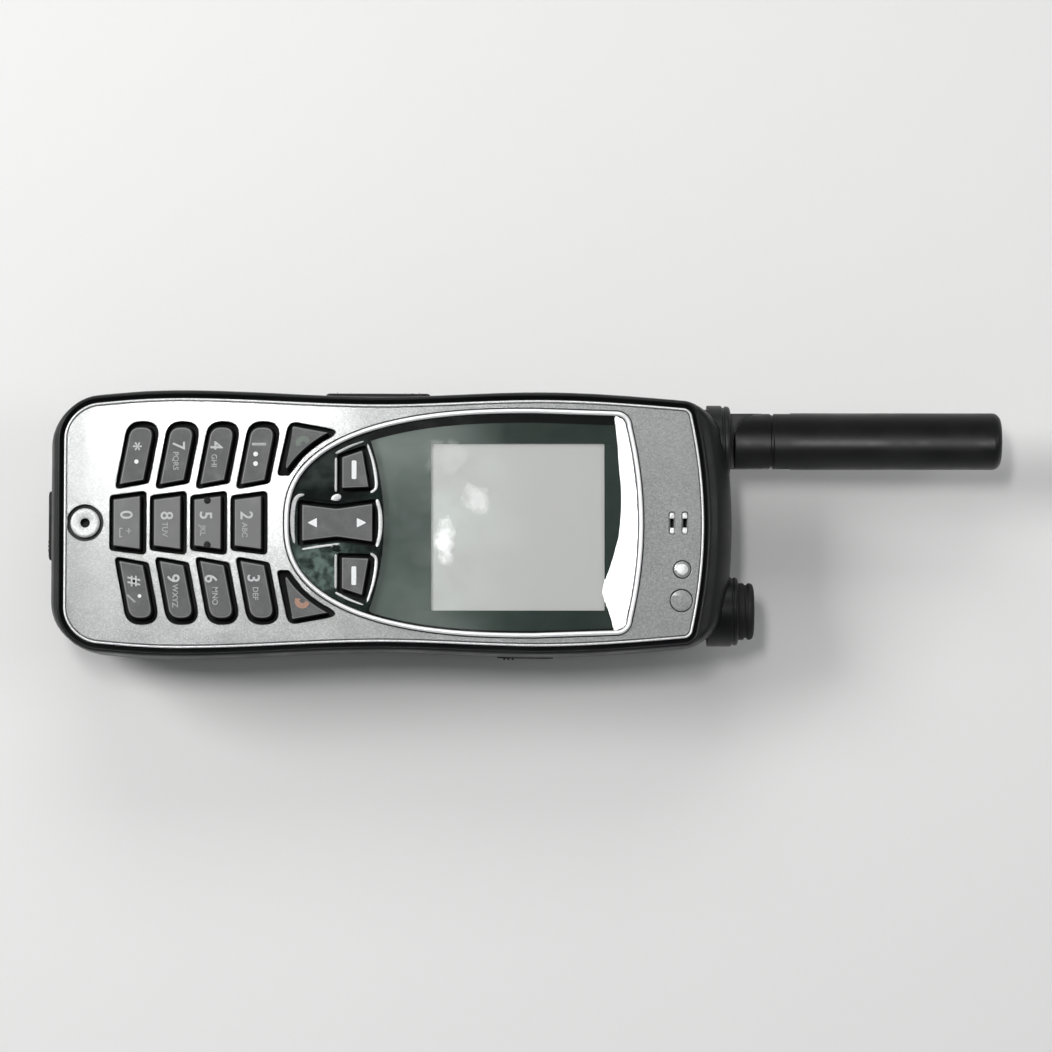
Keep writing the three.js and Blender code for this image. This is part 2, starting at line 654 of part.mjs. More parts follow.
function screw({ x, y, deck, end }) {
  const { head, headHeight, shank, lift } = SCREW;
  return disc(head, x, y, deck + lift, deck + lift + headHeight, 16)
    .add(disc(shank, x, y, deck + headHeight / 2, end, 12));
}

// ---------- covers, side key and power button ----------

function volumeRocker() {
  return frontSkin(VOLUME.proud).intersect(prism(volumeOutline(0), VOLUME.inner, 35, "y"));
}

function usbCover() {
  return frontSkin(USB.proud).intersect(prism(usbOutline(0), -80, CASING.bottom + USB.flap, "x"));
}

function headsetCover() {
  return frontSkin(HEADSET.proud).intersect(prism(headsetOutline(0), -40, HEADSET.flap - HEADSET.skin, "y"));
}

function powerCollar() {
  const { y, z, collarRadius, collarBore, collarTo } = POWER;
  return barX(collarRadius, y, z, BORE_FLOOR + 0.2, collarTo).subtract(barX(collarBore, y, z, 60, 80));
}

function powerButton() {
  const { y, z, radius, from, to, grooveFrom, grooveTo, grooveDepth } = POWER;
  const groove = barX(radius + 1, y, z, grooveFrom, grooveTo)
    .subtract(barX(radius - grooveDepth, y, z, grooveFrom - 1, grooveTo + 1));
  return barX(radius, y, z, from, to).subtract(groove);
}

// ---------- antenna ----------

function antennaSleeve() {
  const { y, z, sleeveRadius, bore, sleeveFrom, sleeveTo } = ANTENNA;
  return barX(sleeveRadius, y, z, sleeveFrom, sleeveTo).subtract(barX(bore, y, z, 0, 80));
}

function antennaCollar() {
  const { y, z, bore } = ANTENNA;
  return barX(COLLAR.radius, y, z, COLLAR.from, COLLAR.to).subtract(barX(bore, y, z, 60, 80));
}

// The slider that stays in the sleeve. Its tongue carries the fold-over pivot.
function antennaBase() {
  const { y, z, baseRadius, baseFrom, baseTo, pivot, tongueHalf, tongueRadius, pin } = ANTENNA;
  return barX(baseRadius, y, z, baseFrom, baseTo)
    .add(box(baseTo - 1, pivot, y - tongueRadius, y + tongueRadius, z - tongueHalf, z + tongueHalf))
    .add(disc(tongueRadius, pivot, y, z - tongueHalf, z + tongueHalf))
    .subtract(disc(pin + 0.1, pivot, y, z - 10, z + 10, 16));
}

// The mast's ears are rounded on the side they fold to, and the slot between them takes the tongue.
function antennaMast() {
  const { y, z, radius, pivot, earRadius, slotHalf, slotDepth, seam, tip, tipRound, pin, pinHalf } = ANTENNA;
  const profile = [[0, pivot - earRadius], [radius, pivot - earRadius], [radius, seam - 0.3]];
  profile.push([radius - 0.35, seam - 0.3], [radius - 0.35, seam + 0.3], [radius, seam + 0.3]);
  for (let i = 0; i <= 4; i++) {
    const angle = (Math.PI / 2) * (i / 4);
    profile.push([
      radius - tipRound * (1 - Math.cos(angle)),
      tip - tipRound * (1 - Math.sin(angle)),
    ]);
  }
  profile.push([0, tip]);
  const points = profile.map(([across, along]) => new THREE.Vector2(across, along));
  const lathe = new THREE.LatheGeometry(points, 32);
  const blank = solidOf(lathe.rotateZ(-Math.PI / 2).translate(0, y, z));
  const corners = box(pivot - 10, pivot, y, y + 10, 0, 40)
    .subtract(disc(earRadius, pivot, y, 0, 40, 32));
  return blank
    .subtract(corners)
    .subtract(box(pivot - 10, pivot + slotDepth, y - 10, y + 10, z - slotHalf, z + slotHalf))
    .subtract(disc(pin + 0.1, pivot, y, z - pinHalf - 0.2, z + pinHalf + 0.2, 16));
}

function pivotPin() {
  const { pin, pivot, y, z, pinHalf } = ANTENNA;
  return disc(pin, pivot, y, z - pinHalf, z + pinHalf, 16);
}

// ---------- battery ----------

function latchRecess() {
  const { x0, x1, radius, depth } = LATCH_RECESS;
  return prism(slot(x0, x1, -radius, radius, radius * 0.98), -1, depth);
}

function batteryShell() {
  const { side, floor, top, foot } = BATTERY_WALL;
  const outline = casingOutline(BATTERY);
  const hollow = prism(insetOutline(BATTERY, side), floor, 10).intersect(box(-80, top, -40, 40, 0, 20));
  const socketHalf = TERMINAL.half + GAP;
  const socket = box(TERMINAL.x0 - GAP, TERMINAL.x1 + GAP, -socketHalf, socketHalf, TERMINALS_Z[0] - 0.2, 10);
  return loft([
    { z: 0, points: insetOutline(BATTERY, foot) },
    { z: foot, points: outline },
    { z: Z.batteryTop, points: outline },
  ]).subtract(hollow).subtract(socket).subtract(latchRecess());
}

function batteryCell() {
  return prism(insetOutline(BATTERY, CELL.inset), CELL.z0, CELL.z1)
    .intersect(box(-80, CELL.top, -40, 40, 0, 20));
}

function batteryTerminals() {
  const { x0, x1, half, ribs, ribHalf } = TERMINAL;
  const [low, high] = TERMINALS_Z;
  return ribs.reduce(
    (block, y) => block.subtract(box(x0 - 1, x1 + 1, y - ribHalf, y + ribHalf, high - 0.5, high + 1)),
    box(x0, x1, -half, half, low, high),
  );
}

function batteryLatch() {
  const { x0, x1, radius, z0, z1, tongueX, tongueHalf, tongueTop } = LATCH;
  return prism(slot(x0, x1, -radius, radius, radius * 0.98), z0, z1)
    .add(box(tongueX[0], tongueX[1], -tongueHalf, tongueHalf, z1 - 0.5, tongueTop));
}

// ---------- the assembly ----------

function finish(color, roughness, metalness = 0, opacity = 1) {
  return new THREE.MeshStandardMaterial({ color, roughness, metalness, opacity, transparent: opacity < 1 });
}

const FINISH = {
  casing: finish(0x16171a, 0.55),
  rubber: finish(0x101112, 0.85),
  plate: finish(0xb9bcbb, 0.35, 0.8),
  chrome: finish(0xe6e8e8, 0.12, 1),
  window: finish(0x2c3833, 0.05, 0, 0.6),
  gloss: finish(0x0c0f0e, 0.08),
  screen: finish(0xb4b8b4, 0.3),
  key: finish(0x5a5c5e, 0.6),
  board: finish(0x1f5a3a, 0.6),
  steel: finish(0x9da1a4, 0.35, 1),
  antenna: finish(0x1b1c1e, 0.5),
  battery: finish(0x3a3b3d, 0.6),
  gold: finish(0xc9a44a, 0.3, 1),
};

const phone = new THREE.Group();
phone.name = "satellite_phone";

function add(name, solid, material) {
  const mesh = new THREE.Mesh(geometryOf(solid), material);
  mesh.name = name;
  phone.add(mesh);
}

add("front_housing", frontHousing(), FINISH.casing);
add("rear_housing", rearHousing(), FINISH.casing);
add("housing_gasket", gasket(), FINISH.rubber);
add("face_plate", facePlate(), FINISH.plate);
add("display_ring", displayRing(), FINISH.chrome);
add("display_window", displayWindow(), FINISH.window);
add("nav_bezel", navBezel(), FINISH.gloss);
add("lcd_frame", lcdFrame(), FINISH.gloss);
add("lcd_panel", lcdPanel(), FINISH.screen);
add("keypad_mat", keypadMat(), FINISH.rubber);
add("mic_boss", micBoss(), FINISH.plate);
add("microphone", disc(MIC_CAPSULE.radius, MIC.x, 0, MIC_CAPSULE.z0, MIC_CAPSULE.z1, 16), FINISH.steel);
add("earpiece_speaker", disc(SPEAKER.radius, SPEAKER.x, 0, SPEAKER.z0, SPEAKER.z1), FINISH.steel);
for (const { name, x, y, radius } of ROUND_WINDOWS) {
  add(name, disc(radius - WINDOW_FIT, x, y, Z.plateBottom, Z.plateTop, 20), FINISH.plate);
}
add("keypad_board", keyBoard(), FINISH.board);
add("chassis_frame", chassis(), FINISH.steel);
add("main_board", mainBoard(), FINISH.board);
add("shield_can", shieldCan(), FINISH.steel);
add("usb_connector", usbConnector(), FINISH.steel);
add("headset_jack", headsetJack(), FINISH.gloss);
add("antenna_port", antennaPort(), FINISH.gold);
add("sim_holder", simHolder(), FINISH.steel);
add("battery_contacts", batteryContacts(), FINISH.gold);
SCREWS.forEach((place, i) => add(`case_screw_${i + 1}`, screw(place), FINISH.steel));

for (const key of [...digitKeys, ...callKeys, ...clusterKeys]) {
  add(key.name, keyCap(key), FINISH.key);
}
add("volume_rocker", volumeRocker(), FINISH.rubber);
add("usb_cover", usbCover(), FINISH.rubber);
add("headset_cover", headsetCover(), FINISH.rubber);
add("antenna_port_cover", portPlan(0, Z.rearBack + 0.05, PORT.recess - 0.15), FINISH.rubber);
add("power_collar", powerCollar(), FINISH.casing);
add("power_button", powerButton(), FINISH.rubber);

add("antenna_sleeve", antennaSleeve(), FINISH.casing);
add("antenna_collar", antennaCollar(), FINISH.casing);
add("antenna_base", antennaBase(), FINISH.antenna);
add("antenna_mast", antennaMast(), FINISH.antenna);
add("antenna_pivot_pin", pivotPin(), FINISH.steel);

add("battery_shell", batteryShell(), FINISH.battery);
add("battery_cell", batteryCell(), FINISH.steel);
add("battery_terminals", batteryTerminals(), FINISH.gold);
add("battery_latch", batteryLatch(), FINISH.casing);

export default phone;
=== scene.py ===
"""The looks of a handheld satellite phone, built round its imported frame.

Lengths are millimetres until a mesh is made. +X runs to the antenna end, +Y to the antenna's
side, +Z out of the front.
"""

import math

import bmesh
import bpy
import numpy as np
from mathutils import Matrix, Vector


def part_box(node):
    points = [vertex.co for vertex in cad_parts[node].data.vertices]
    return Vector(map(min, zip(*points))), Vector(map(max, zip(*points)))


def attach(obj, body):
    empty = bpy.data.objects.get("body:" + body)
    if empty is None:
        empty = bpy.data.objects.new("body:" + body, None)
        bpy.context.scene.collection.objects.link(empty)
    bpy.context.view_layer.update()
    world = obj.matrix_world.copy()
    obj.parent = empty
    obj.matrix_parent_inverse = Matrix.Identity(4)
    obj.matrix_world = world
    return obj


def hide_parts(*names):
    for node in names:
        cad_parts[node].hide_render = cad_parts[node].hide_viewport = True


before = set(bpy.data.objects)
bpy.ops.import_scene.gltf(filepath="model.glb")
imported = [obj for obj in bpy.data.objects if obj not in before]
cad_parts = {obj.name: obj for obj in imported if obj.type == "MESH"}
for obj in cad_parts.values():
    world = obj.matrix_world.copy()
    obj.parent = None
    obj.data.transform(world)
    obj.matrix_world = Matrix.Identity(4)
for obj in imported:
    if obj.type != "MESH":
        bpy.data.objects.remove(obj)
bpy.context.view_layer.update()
MM = 0.001

# ---------- sizes, in millimetres ----------

CASING = {"bottom": -71.5, "top": 71.5, "half": 27.0, "low": 10.5, "high": 8.5, "bow": 2.4}
PLATE = {"bottom": -68.2, "top": 65.3, "half": 25.0, "low": 7.0, "high": 1.4, "bow": 2.8}
BATTERY = {"bottom": -68.6, "top": 41.0, "half": 19.3, "low": 3.5, "high": 0.8, "bow": 0.0}
WAIST_X = np.array([-68.0, -45.0, -3.0, 34.0, 66.0])
WAIST_HALF = np.array([24.4, 26.1, 24.8, 25.7, 23.6])
WAIST_NOMINAL = 25.0

REAR_BACK, REAR_SPLIT, FRONT_SPLIT = 0.6, 12.9, 13.3
BAY_FLOOR, BAY_ROOF = 8.8, 10.1
PLATE_SEAT, PLATE_LOW, PLATE_TOP = 27.0, 27.1, 28.6
WINDOW_TOP, KEY_TOP, SOFT_TOP, NAV_TOP = 28.4, 29.9, 29.5, 29.6
GAP = 0.3

RING = {
    "nose": -22.3, "broadest": 30.0, "half": 23.9, "power": 2.5,
    "shoulder": 47.0, "shoulder_half": 23.35, "corner": 3.2, "tip": 52.6,
}
STEP_X, STEP_RADIUS = -1.6, 54.2

KEY_PITCH, KEY_GAP, CALL_MARGIN = 8.4, 0.9, 1.2
SIDE_KEY = [(-32.4, 7.0, 0.9), (-25.3, 8.3, 0.9), (-22.8, 21.2, 3.0), (-29.7, 21.2, 3.4)]
MIDDLE_KEY = [(-33.4, -5.7, 0.9), (-25.8, -6.7, 0.9), (-25.8, 6.7, 0.9), (-33.4, 5.7, 0.9)]
CALL_KEY = [(-23.8, 9.9), (-12.1, 9.9), (-12.1, 19.6), (-21.3, 21.3)]
SOFT_KEY = [(-11.2, 6.2, 0.6), (-3.5, 6.5, 0.8), (-5.2, 16.4, 0.8), (-11.2, 14.4, 0.6)]
NAV_KEY = [
    (-19.5, -4.9, 0.8), (-11.3, -3.9, 6.0), (-2.9, -5.1, 0.8),
    (-2.9, 5.1, 0.8), (-11.3, 3.9, 6.0), (-19.5, 4.9, 0.8),
]

MIC_X, MIC_OPENING, MIC_BOSS, MIC_HOLE = -63.75, 3.78, 3.05, 0.95
EARPIECE_X, EARPIECE_WIDTH, EARPIECE_HALF = (58.6, 61.3), 1.3, 2.35
LCD = (8.3, 44.53, -18.2, 16.73)
ROUND_WINDOWS = ((60.7, -9.7, 1.9), (60.5, -16.2, 2.4))

ANTENNA_Y, ANTENNA_Z, MAST_RADIUS, SLEEVE_BORE, SLEEVE_RADIUS = 18.0, 16.7, 6.0, 6.25, 6.75
PIVOT_X, EAR_RADIUS, EAR_SLOT, SLOT_DEPTH, MAST_SEAM, MAST_TIP = 77.8, 5.7, 1.8, 6.3, 80.1, 128.6
BASE_FROM, BASE_TO, BASE_RADIUS, TONGUE_HALF, TONGUE_RADIUS, PIN = 60.0, 71.4, 5.85, 1.5, 5.8, 1.4
COLLAR_FROM, COLLAR_TO, COLLAR_RADIUS = 66.4, 71.3, 7.6
POWER_Y, POWER_RADIUS, POWER_FROM, POWER_TO = -18.0, 6.0, 67.8, 76.2
POWER_COLLAR, POWER_COLLAR_TO, POWER_BORE, BORE_FLOOR = 7.4, 72.8, 6.3, 66.2

VOLUME = (-14.0, 8.0, 14.6, 20.2)
USB = (-7.3, 7.3, 14.4, 19.8)
HEADSET = (22.0, 34.0, 13.9, 18.1)
HEADSET_JACK = (28.0, 15.9, 2.5)
PORT_X, PORT_Y, PORT_COVER, PORT_STRAP, PORT_END, PORT_RECESS = 58.0, -7.0, 5.0, 1.6, -13.6, 1.9
LABEL = (-64.0, -12.0, -17.0, 17.0)
LATCH = (36.0, 51.2, 5.6, 0.5, 2.6)
LATCH_RECESS = (33.2, 51.8, 6.2, 2.9)
SCREWS = (
    (-60.0, 17.0, BAY_FLOOR), (-60.0, -17.0, BAY_FLOOR), (61.0, 7.5, REAR_BACK), (61.0, -15.5, REAR_BACK),
)

# ---------- outlines ----------


def waist(x):
    """Half width of the face plate at x: a cubic through its stations."""
    step = np.diff(WAIST_X)
    rise = np.diff(WAIST_HALF)
    slope = np.zeros(len(WAIST_X))
    slope[1:-1] = (WAIST_HALF[2:] - WAIST_HALF[:-2]) / (WAIST_X[2:] - WAIST_X[:-2])
    slope[0] = 1.5 * rise[0] / step[0] - 0.5 * slope[1]
    slope[-1] = 1.5 * rise[-1] / step[-1] - 0.5 * slope[-2]
    x = np.clip(x, WAIST_X[0], WAIST_X[-1])
    i = np.clip(np.searchsorted(WAIST_X, x) - 1, 0, len(step) - 1)
    t = (x - WAIST_X[i]) / step[i]
    return (
        WAIST_HALF[i] * (1 + 2 * t) * (1 - t) ** 2
        + slope[i] * step[i] * t * (1 - t) ** 2
        + WAIST_HALF[i + 1] * t * t * (3 - 2 * t)
        + slope[i + 1] * step[i] * t * t * (t - 1)
    )


def side_y(x):
    """Y of the casing's flank at x."""
    return CASING["half"] * waist(np.asarray(x, float)) / WAIST_NOMINAL


def casing_outline(plan, side=0.0, bottom=None, top=None):
    """A waisted, rounded rectangle with a bowed antenna end, anticlockwise, as an array of points."""
    end, corner, flank = 8, 12, 64
    x0 = plan["bottom"] + (side if bottom is None else bottom)
    x1 = plan["top"] - (side if top is None else top)
    half = plan["half"] - side
    low = max(0.5, plan["low"] - side)
    high = max(0.5, plan["high"] - side)
    turn = np.linspace(0, math.pi / 2, corner, endpoint=False)
    part = np.linspace(0, 1, end, endpoint=False)
    last = np.linspace(1, 0, end + 1)
    xs = np.concatenate([
        np.full(end, x0),
        x0 + low * (1 - np.cos(turn)),
        np.linspace(x0 + low, x1 - high, flank, endpoint=False),
        x1 - high + high * np.sin(turn),
        np.full(end + 1, x1),
    ])
    ys = np.concatenate([
        (half - low) * part,
        half - low * (1 - np.sin(turn)),
        np.full(flank, half),
        half - high * (1 - np.cos(turn)),
        (half - high) * last,
    ])
    rise = np.clip((xs - (x1 - high - 12)) / (high + 12), 0, 1)
    xs = xs - np.where(xs > 0, plan["bow"] * (ys / half) ** 2 * rise * rise * (3 - 2 * rise), 0)
    ys = ys * waist(xs) / WAIST_NOMINAL
    upper = np.stack([xs, ys], axis=1)
    lower = upper[1:-1] * [1, -1]
    return np.concatenate([lower, upper[-1:], upper[:-1][::-1]])


def offset(points, distance):
    """Moves each edge of an anticlockwise outline out, or in for a negative distance."""
    edge = np.roll(points, -1, axis=0) - points
    normal = np.stack([edge[:, 1], -edge[:, 0]], axis=1)
    normal /= np.linalg.norm(normal, axis=1)[:, None]
    before = np.roll(normal, 1, axis=0)
    mitre = before + normal
    mitre /= np.linalg.norm(mitre, axis=1)[:, None]
    return points + mitre * (distance / (mitre * before).sum(axis=1))[:, None]


def ring_outline(distance=0.0):
    """The display ring: a superellipse nose, round corners and a bowed antenna end."""
    angle = np.linspace(0, math.pi / 2, 56)[1:]
    reach = RING["broadest"] - RING["nose"]
    power = 2 / RING["power"]
    nose_x = RING["broadest"] - reach * np.abs(np.cos(angle)) ** power
    nose_y = RING["half"] * np.sin(angle) ** power
    turn = np.linspace(0, math.pi / 2, 12)
    corner_x = RING["shoulder"] + RING["corner"] * np.sin(turn)
    corner_y = RING["shoulder_half"] - RING["corner"] * (1 - np.cos(turn))
    end = RING["shoulder_half"] - RING["corner"]
    end_y = np.linspace(end, 0, 20)[1:-1]
    start = RING["shoulder"] + RING["corner"]
    end_x = start + (RING["tip"] - start) * (1 - (end_y / end) ** 2)
    top = np.stack([
        np.concatenate([nose_x, corner_x, end_x]), np.concatenate([nose_y, corner_y, end_y]),
    ], axis=1)
    outline = np.concatenate([[[RING["nose"], 0]], top * [1, -1], [[RING["tip"], 0]], top[::-1]])
    return offset(outline, distance) if distance else outline


def rounded(points, radii, steps=7):
    """A polygon with its corners rounded by quadratic curves. A corner of radius 0 is kept as it is."""
    drawn = []
    count = len(points)
    for i in range(count):
        p = points[i]
        if radii[i] == 0:
            drawn.append(p)
            continue
        before = points[i - 1] - p
        after = points[(i + 1) % count] - p
        before = before / np.linalg.norm(before)
        after = after / np.linalg.norm(after)
        reach = radii[i] / math.tan(math.acos(np.clip(before @ after, -1, 1)) / 2)
        start = p + before * reach
        finish = p + after * reach
        for t in np.linspace(0, 1, steps):
            drawn.append(start * (1 - t) ** 2 + p * 2 * t * (1 - t) + finish * t * t)
    return np.array(drawn)


def key_outline(corners, shift=0.0, mirror=False):
    """A function from an inset to a key's rounded outline."""
    sign = -1 if mirror else 1
    plan = [(x + shift, y * sign, r) for x, y, r in corners]
    if mirror:
        plan.reverse()
    points = np.array([(x, y) for x, y, _ in plan])

    def outline(inset=0.0):
        return rounded(offset(points, -inset), [max(0.3, r - inset) for _, _, r in plan])

    return outline


def cut_curve(curve, start, finish):
    """The part of a curve on the left of the line from start to finish, cut off exactly on that line."""
    along = finish - start
    side = along[0] * (curve[:, 1] - start[1]) - along[1] * (curve[:, 0] - start[0])
    kept = curve[side > 0]
    first, last = np.flatnonzero(side > 0)[[0, -1]]
    if first > 0:
        share = side[first] / (side[first] - side[first - 1])
        kept = np.concatenate([[curve[first] + (curve[first - 1] - curve[first]) * share], kept])
    if last < len(curve) - 1:
        share = side[last] / (side[last] - side[last + 1])
        kept = np.concatenate([kept, [curve[last] + (curve[last + 1] - curve[last]) * share]])
    return kept


def call_outline(mirror=False):
    """A function from an inset to a call key's outline, with one side along the display ring."""
    quad = np.array(CALL_KEY)

    def outline(inset=0.0):
        foot, _, tip, top = offset(quad, -inset)
        curve = ring_outline(CALL_MARGIN + inset)
        curve = curve[(curve[:, 1] > 2) & (curve[:, 0] < 10)]
        curve = curve[np.argsort(curve[:, 1])]
        curve = cut_curve(curve, foot, foot + [1, 0])
        curve = cut_curve(curve, tip, top)
        if inset > 0.5:
            curve = cut_curve(curve, top, foot)
        tip_radius = 1.15 if inset < 0.5 else max(0.2, 0.6 - 0.45 * inset)
        reach = 4 * tip_radius
        length = np.concatenate([[0], np.cumsum(np.linalg.norm(np.diff(curve, axis=0), axis=1))])
        spots = np.linspace(reach, length[-1] - reach, 16)
        inner = np.stack([np.interp(spots, length, curve[:, k]) for k in (0, 1)], axis=1)
        low = [curve[0]] if inset > 0.5 else [foot, curve[0]]
        points = np.concatenate([low, inner, [curve[-1], top]])
        top_radius = 2.0 if inset < 0.5 else max(0.5, 1.4 - inset)
        low_radii = [0.75] * (len(low) - 1) + [0.6 if inset < 0.5 else tip_radius]
        radii = low_radii + [0] * len(inner) + [tip_radius, top_radius]
        drawn = rounded(points, radii, 6)
        return drawn[::-1] * [1, -1] if mirror else drawn

    return outline


def square(x0, x1, y0, y1, radius):
    """A rectangle's corners, each with the radius that rounds it."""
    return [(x0, y0, radius), (x1, y0, radius), (x1, y1, radius), (x0, y1, radius)]


def stadium(x0, x1, y0, y1, radius):
    return key_outline(square(x0, x1, y0, y1, radius))()


def circle(radius, x=0.0, y=0.0, segments=64):
    angle = np.linspace(0, 2 * math.pi, segments, endpoint=False)
    return np.stack([x + radius * np.cos(angle), y + radius * np.sin(angle)], axis=1)


# ---------- meshes ----------


def linked(name, data):
    """A new object in the scene."""
    made = bpy.data.objects.new(name, data)
    bpy.context.scene.collection.objects.link(made)
    return made


def evaluated(thing):
    """The mesh of an object with its modifiers or its curve's thickness applied."""
    bpy.context.view_layer.update()
    graph = bpy.context.evaluated_depsgraph_get()
    return bpy.data.meshes.new_from_object(thing.evaluated_get(graph))


def mesh_object(name, points, faces):
    mesh = bpy.data.meshes.new(name)
    mesh.from_pydata([tuple(p) for p in np.asarray(points, float) * MM], [], faces)
    return linked(name, mesh)


def at_z(outline, z):
    return np.column_stack([outline, np.full(len(outline), z)])


def solid(name, rings, loop=False):
    """A closed skin through rings of points. A loop joins its last ring to its first, and has no caps."""
    rings = np.array(rings)
    levels, count = rings.shape[:2]
    faces = []
    for level in range(levels if loop else levels - 1):
        here = level * count
        above = ((level + 1) % levels) * count
        for i in range(count):
            j = (i + 1) % count
            faces.append((here + i, here + j, above + j, above + i))
    if not loop:
        faces.append(tuple(reversed(range(count))))
        faces.append(tuple(range((levels - 1) * count, levels * count)))
    return mesh_object(name, rings.reshape(-1, 3), faces)


def prism(outline, z0, z1):
    return solid("cutter", [at_z(outline, z0), at_z(outline, z1)])


def turned(name, profile, y, z, segments=96, x_axis=True, loop=False):
    """A turned body about a line along X, or along Z, with a profile of (distance along, radius)."""
    angle = np.linspace(0, 2 * math.pi, segments, endpoint=False)
    points = []
    for along, radius in profile:
        a, b = y + radius * np.cos(angle), z + radius * np.sin(angle)
        columns = [np.full(segments, along), a, b] if x_axis else [a, b, np.full(segments, along)]
        points.append(np.column_stack(columns))
    return solid(name, points, loop)


def bar(radius, y, z, x0, x1, segments=96):
    return turned("cutter", [(x0, radius), (x1, radius)], y, z, segments)


def block(x0, x1, y0, y1, z0, z1):
    return prism(np.array([(x0, y0), (x1, y0), (x1, y1), (x0, y1)]), z0, z1)


def facing(outline, low, high, axis):
    """A prism along X over an outline in (y, z), or along Y over an outline in (x, z)."""
    u, v = outline[:, 0], outline[:, 1]
    rings = []
    for depth in (low, high) if axis == "x" else (high, low):
        flat = np.full(len(outline), depth)
        rings.append(np.column_stack([flat, u, v] if axis == "x" else [u, flat, v]))
    return solid("cutter", rings)


def settle(piece):
    """Applies a piece's modifiers."""
    mesh = evaluated(piece)
    piece.modifiers.clear()
    piece.data = mesh
    return piece


def combine(piece, others, operation="DIFFERENCE"):
    """Cuts the others out of a piece, or joins them to it."""
    for other in others:
        modifier = piece.modifiers.new("combine", "BOOLEAN")
        modifier.operation = operation
        modifier.solver = "MANIFOLD"
        modifier.object = other
    settle(piece)
    for other in others:
        bpy.data.objects.remove(other)
    return piece


def curve_mesh(curve):
    """The mesh of a curve or a text."""
    drawn = linked(curve.name, curve)
    mesh = evaluated(drawn)
    bpy.data.objects.remove(drawn)
    return mesh


def flat_plate(name, outlines, z0, z1, edge, segments=3):
    """A flat plate over an outline with holes, its edges rounded."""
    curve = bpy.data.curves.new(name, "CURVE")
    curve.dimensions = "2D"
    curve.fill_mode = "BOTH"
    curve.extrude = ((z1 - z0) / 2 - edge) * MM
    curve.bevel_depth = edge * MM
    curve.bevel_resolution = segments
    curve.offset = -edge * MM
    for outline in outlines:
        spline = curve.splines.new("POLY")
        spline.points.add(len(outline) - 1)
        flat = np.column_stack([outline * MM, np.zeros(len(outline)), np.ones(len(outline))])
        spline.points.foreach_set("co", flat.ravel())
        spline.use_cyclic_u = True
    mesh = curve_mesh(curve)
    mesh.transform(Matrix.Translation((0, 0, (z0 + z1) / 2 * MM)))
    weld(mesh)
    return linked(name, mesh)


def weld(mesh):
    bm = bmesh.new()
    bm.from_mesh(mesh)
    bmesh.ops.remove_doubles(bm, verts=bm.verts, dist=0.002 * MM)
    bmesh.ops.recalc_face_normals(bm, faces=bm.faces)
    bm.to_mesh(mesh)
    bm.free()


def merge(piece, others):
    """Adds other pieces' meshes to a piece. Each keeps its own material."""
    materials = list(piece.data.materials)
    bm = bmesh.new()
    bm.from_mesh(piece.data)
    for other in others:
        finish = other.data.materials[0]
        if finish not in materials:
            materials.append(finish)
            piece.data.materials.append(finish)
        first = len(bm.faces)
        bm.from_mesh(other.data)
        bm.faces.ensure_lookup_table()
        for face in bm.faces[first:]:
            face.material_index = materials.index(finish)
        bpy.data.objects.remove(other)
    bm.to_mesh(piece.data)
    bm.free()
    return piece


def smooth(piece, angle=38):
    """Smooth shading up to an angle, with flat faces kept flat."""
    piece.data.shade_smooth()
    piece.data.set_sharp_from_angle(angle=math.radians(angle))
    modifier = piece.modifiers.new("flat_faces_stay_flat", "WEIGHTED_NORMAL")
    modifier.keep_sharp = True
    return piece


def paint(piece, look):
    piece.data.materials.clear()
    piece.data.materials.append(look)
    return piece


def place(piece, body, slot, *nodes):
    """Rides a finished piece on its body, in place of CAD nodes."""
    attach(piece, body)
    if nodes:
        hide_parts(*nodes)
    return piece


def finish(piece, look, body, slot, *nodes):
    """Paints and smooths a piece, then places it."""
    return place(smooth(paint(piece, look)), body, slot, *nodes)


def rounding(edge, steps=5):
    """Steps of a quarter round, as pairs of inset and depth below the top."""
    angles = [math.pi / 2 * k / steps for k in range(1, steps + 1)]
    return [(edge * (1 - math.cos(angle)), edge - edge * math.sin(angle)) for angle in angles]


def cap_rings(outline, low, high, edge, steps=5):
    """Rings of a cap with a rounded rim, from its foot to its flat top."""
    rings = [at_z(outline(0.0), low), at_z(outline(0.0), high - edge)]
    rings += [at_z(outline(inset), high - drop) for inset, drop in rounding(edge, steps)]
    return rings


# ---------- materials ----------


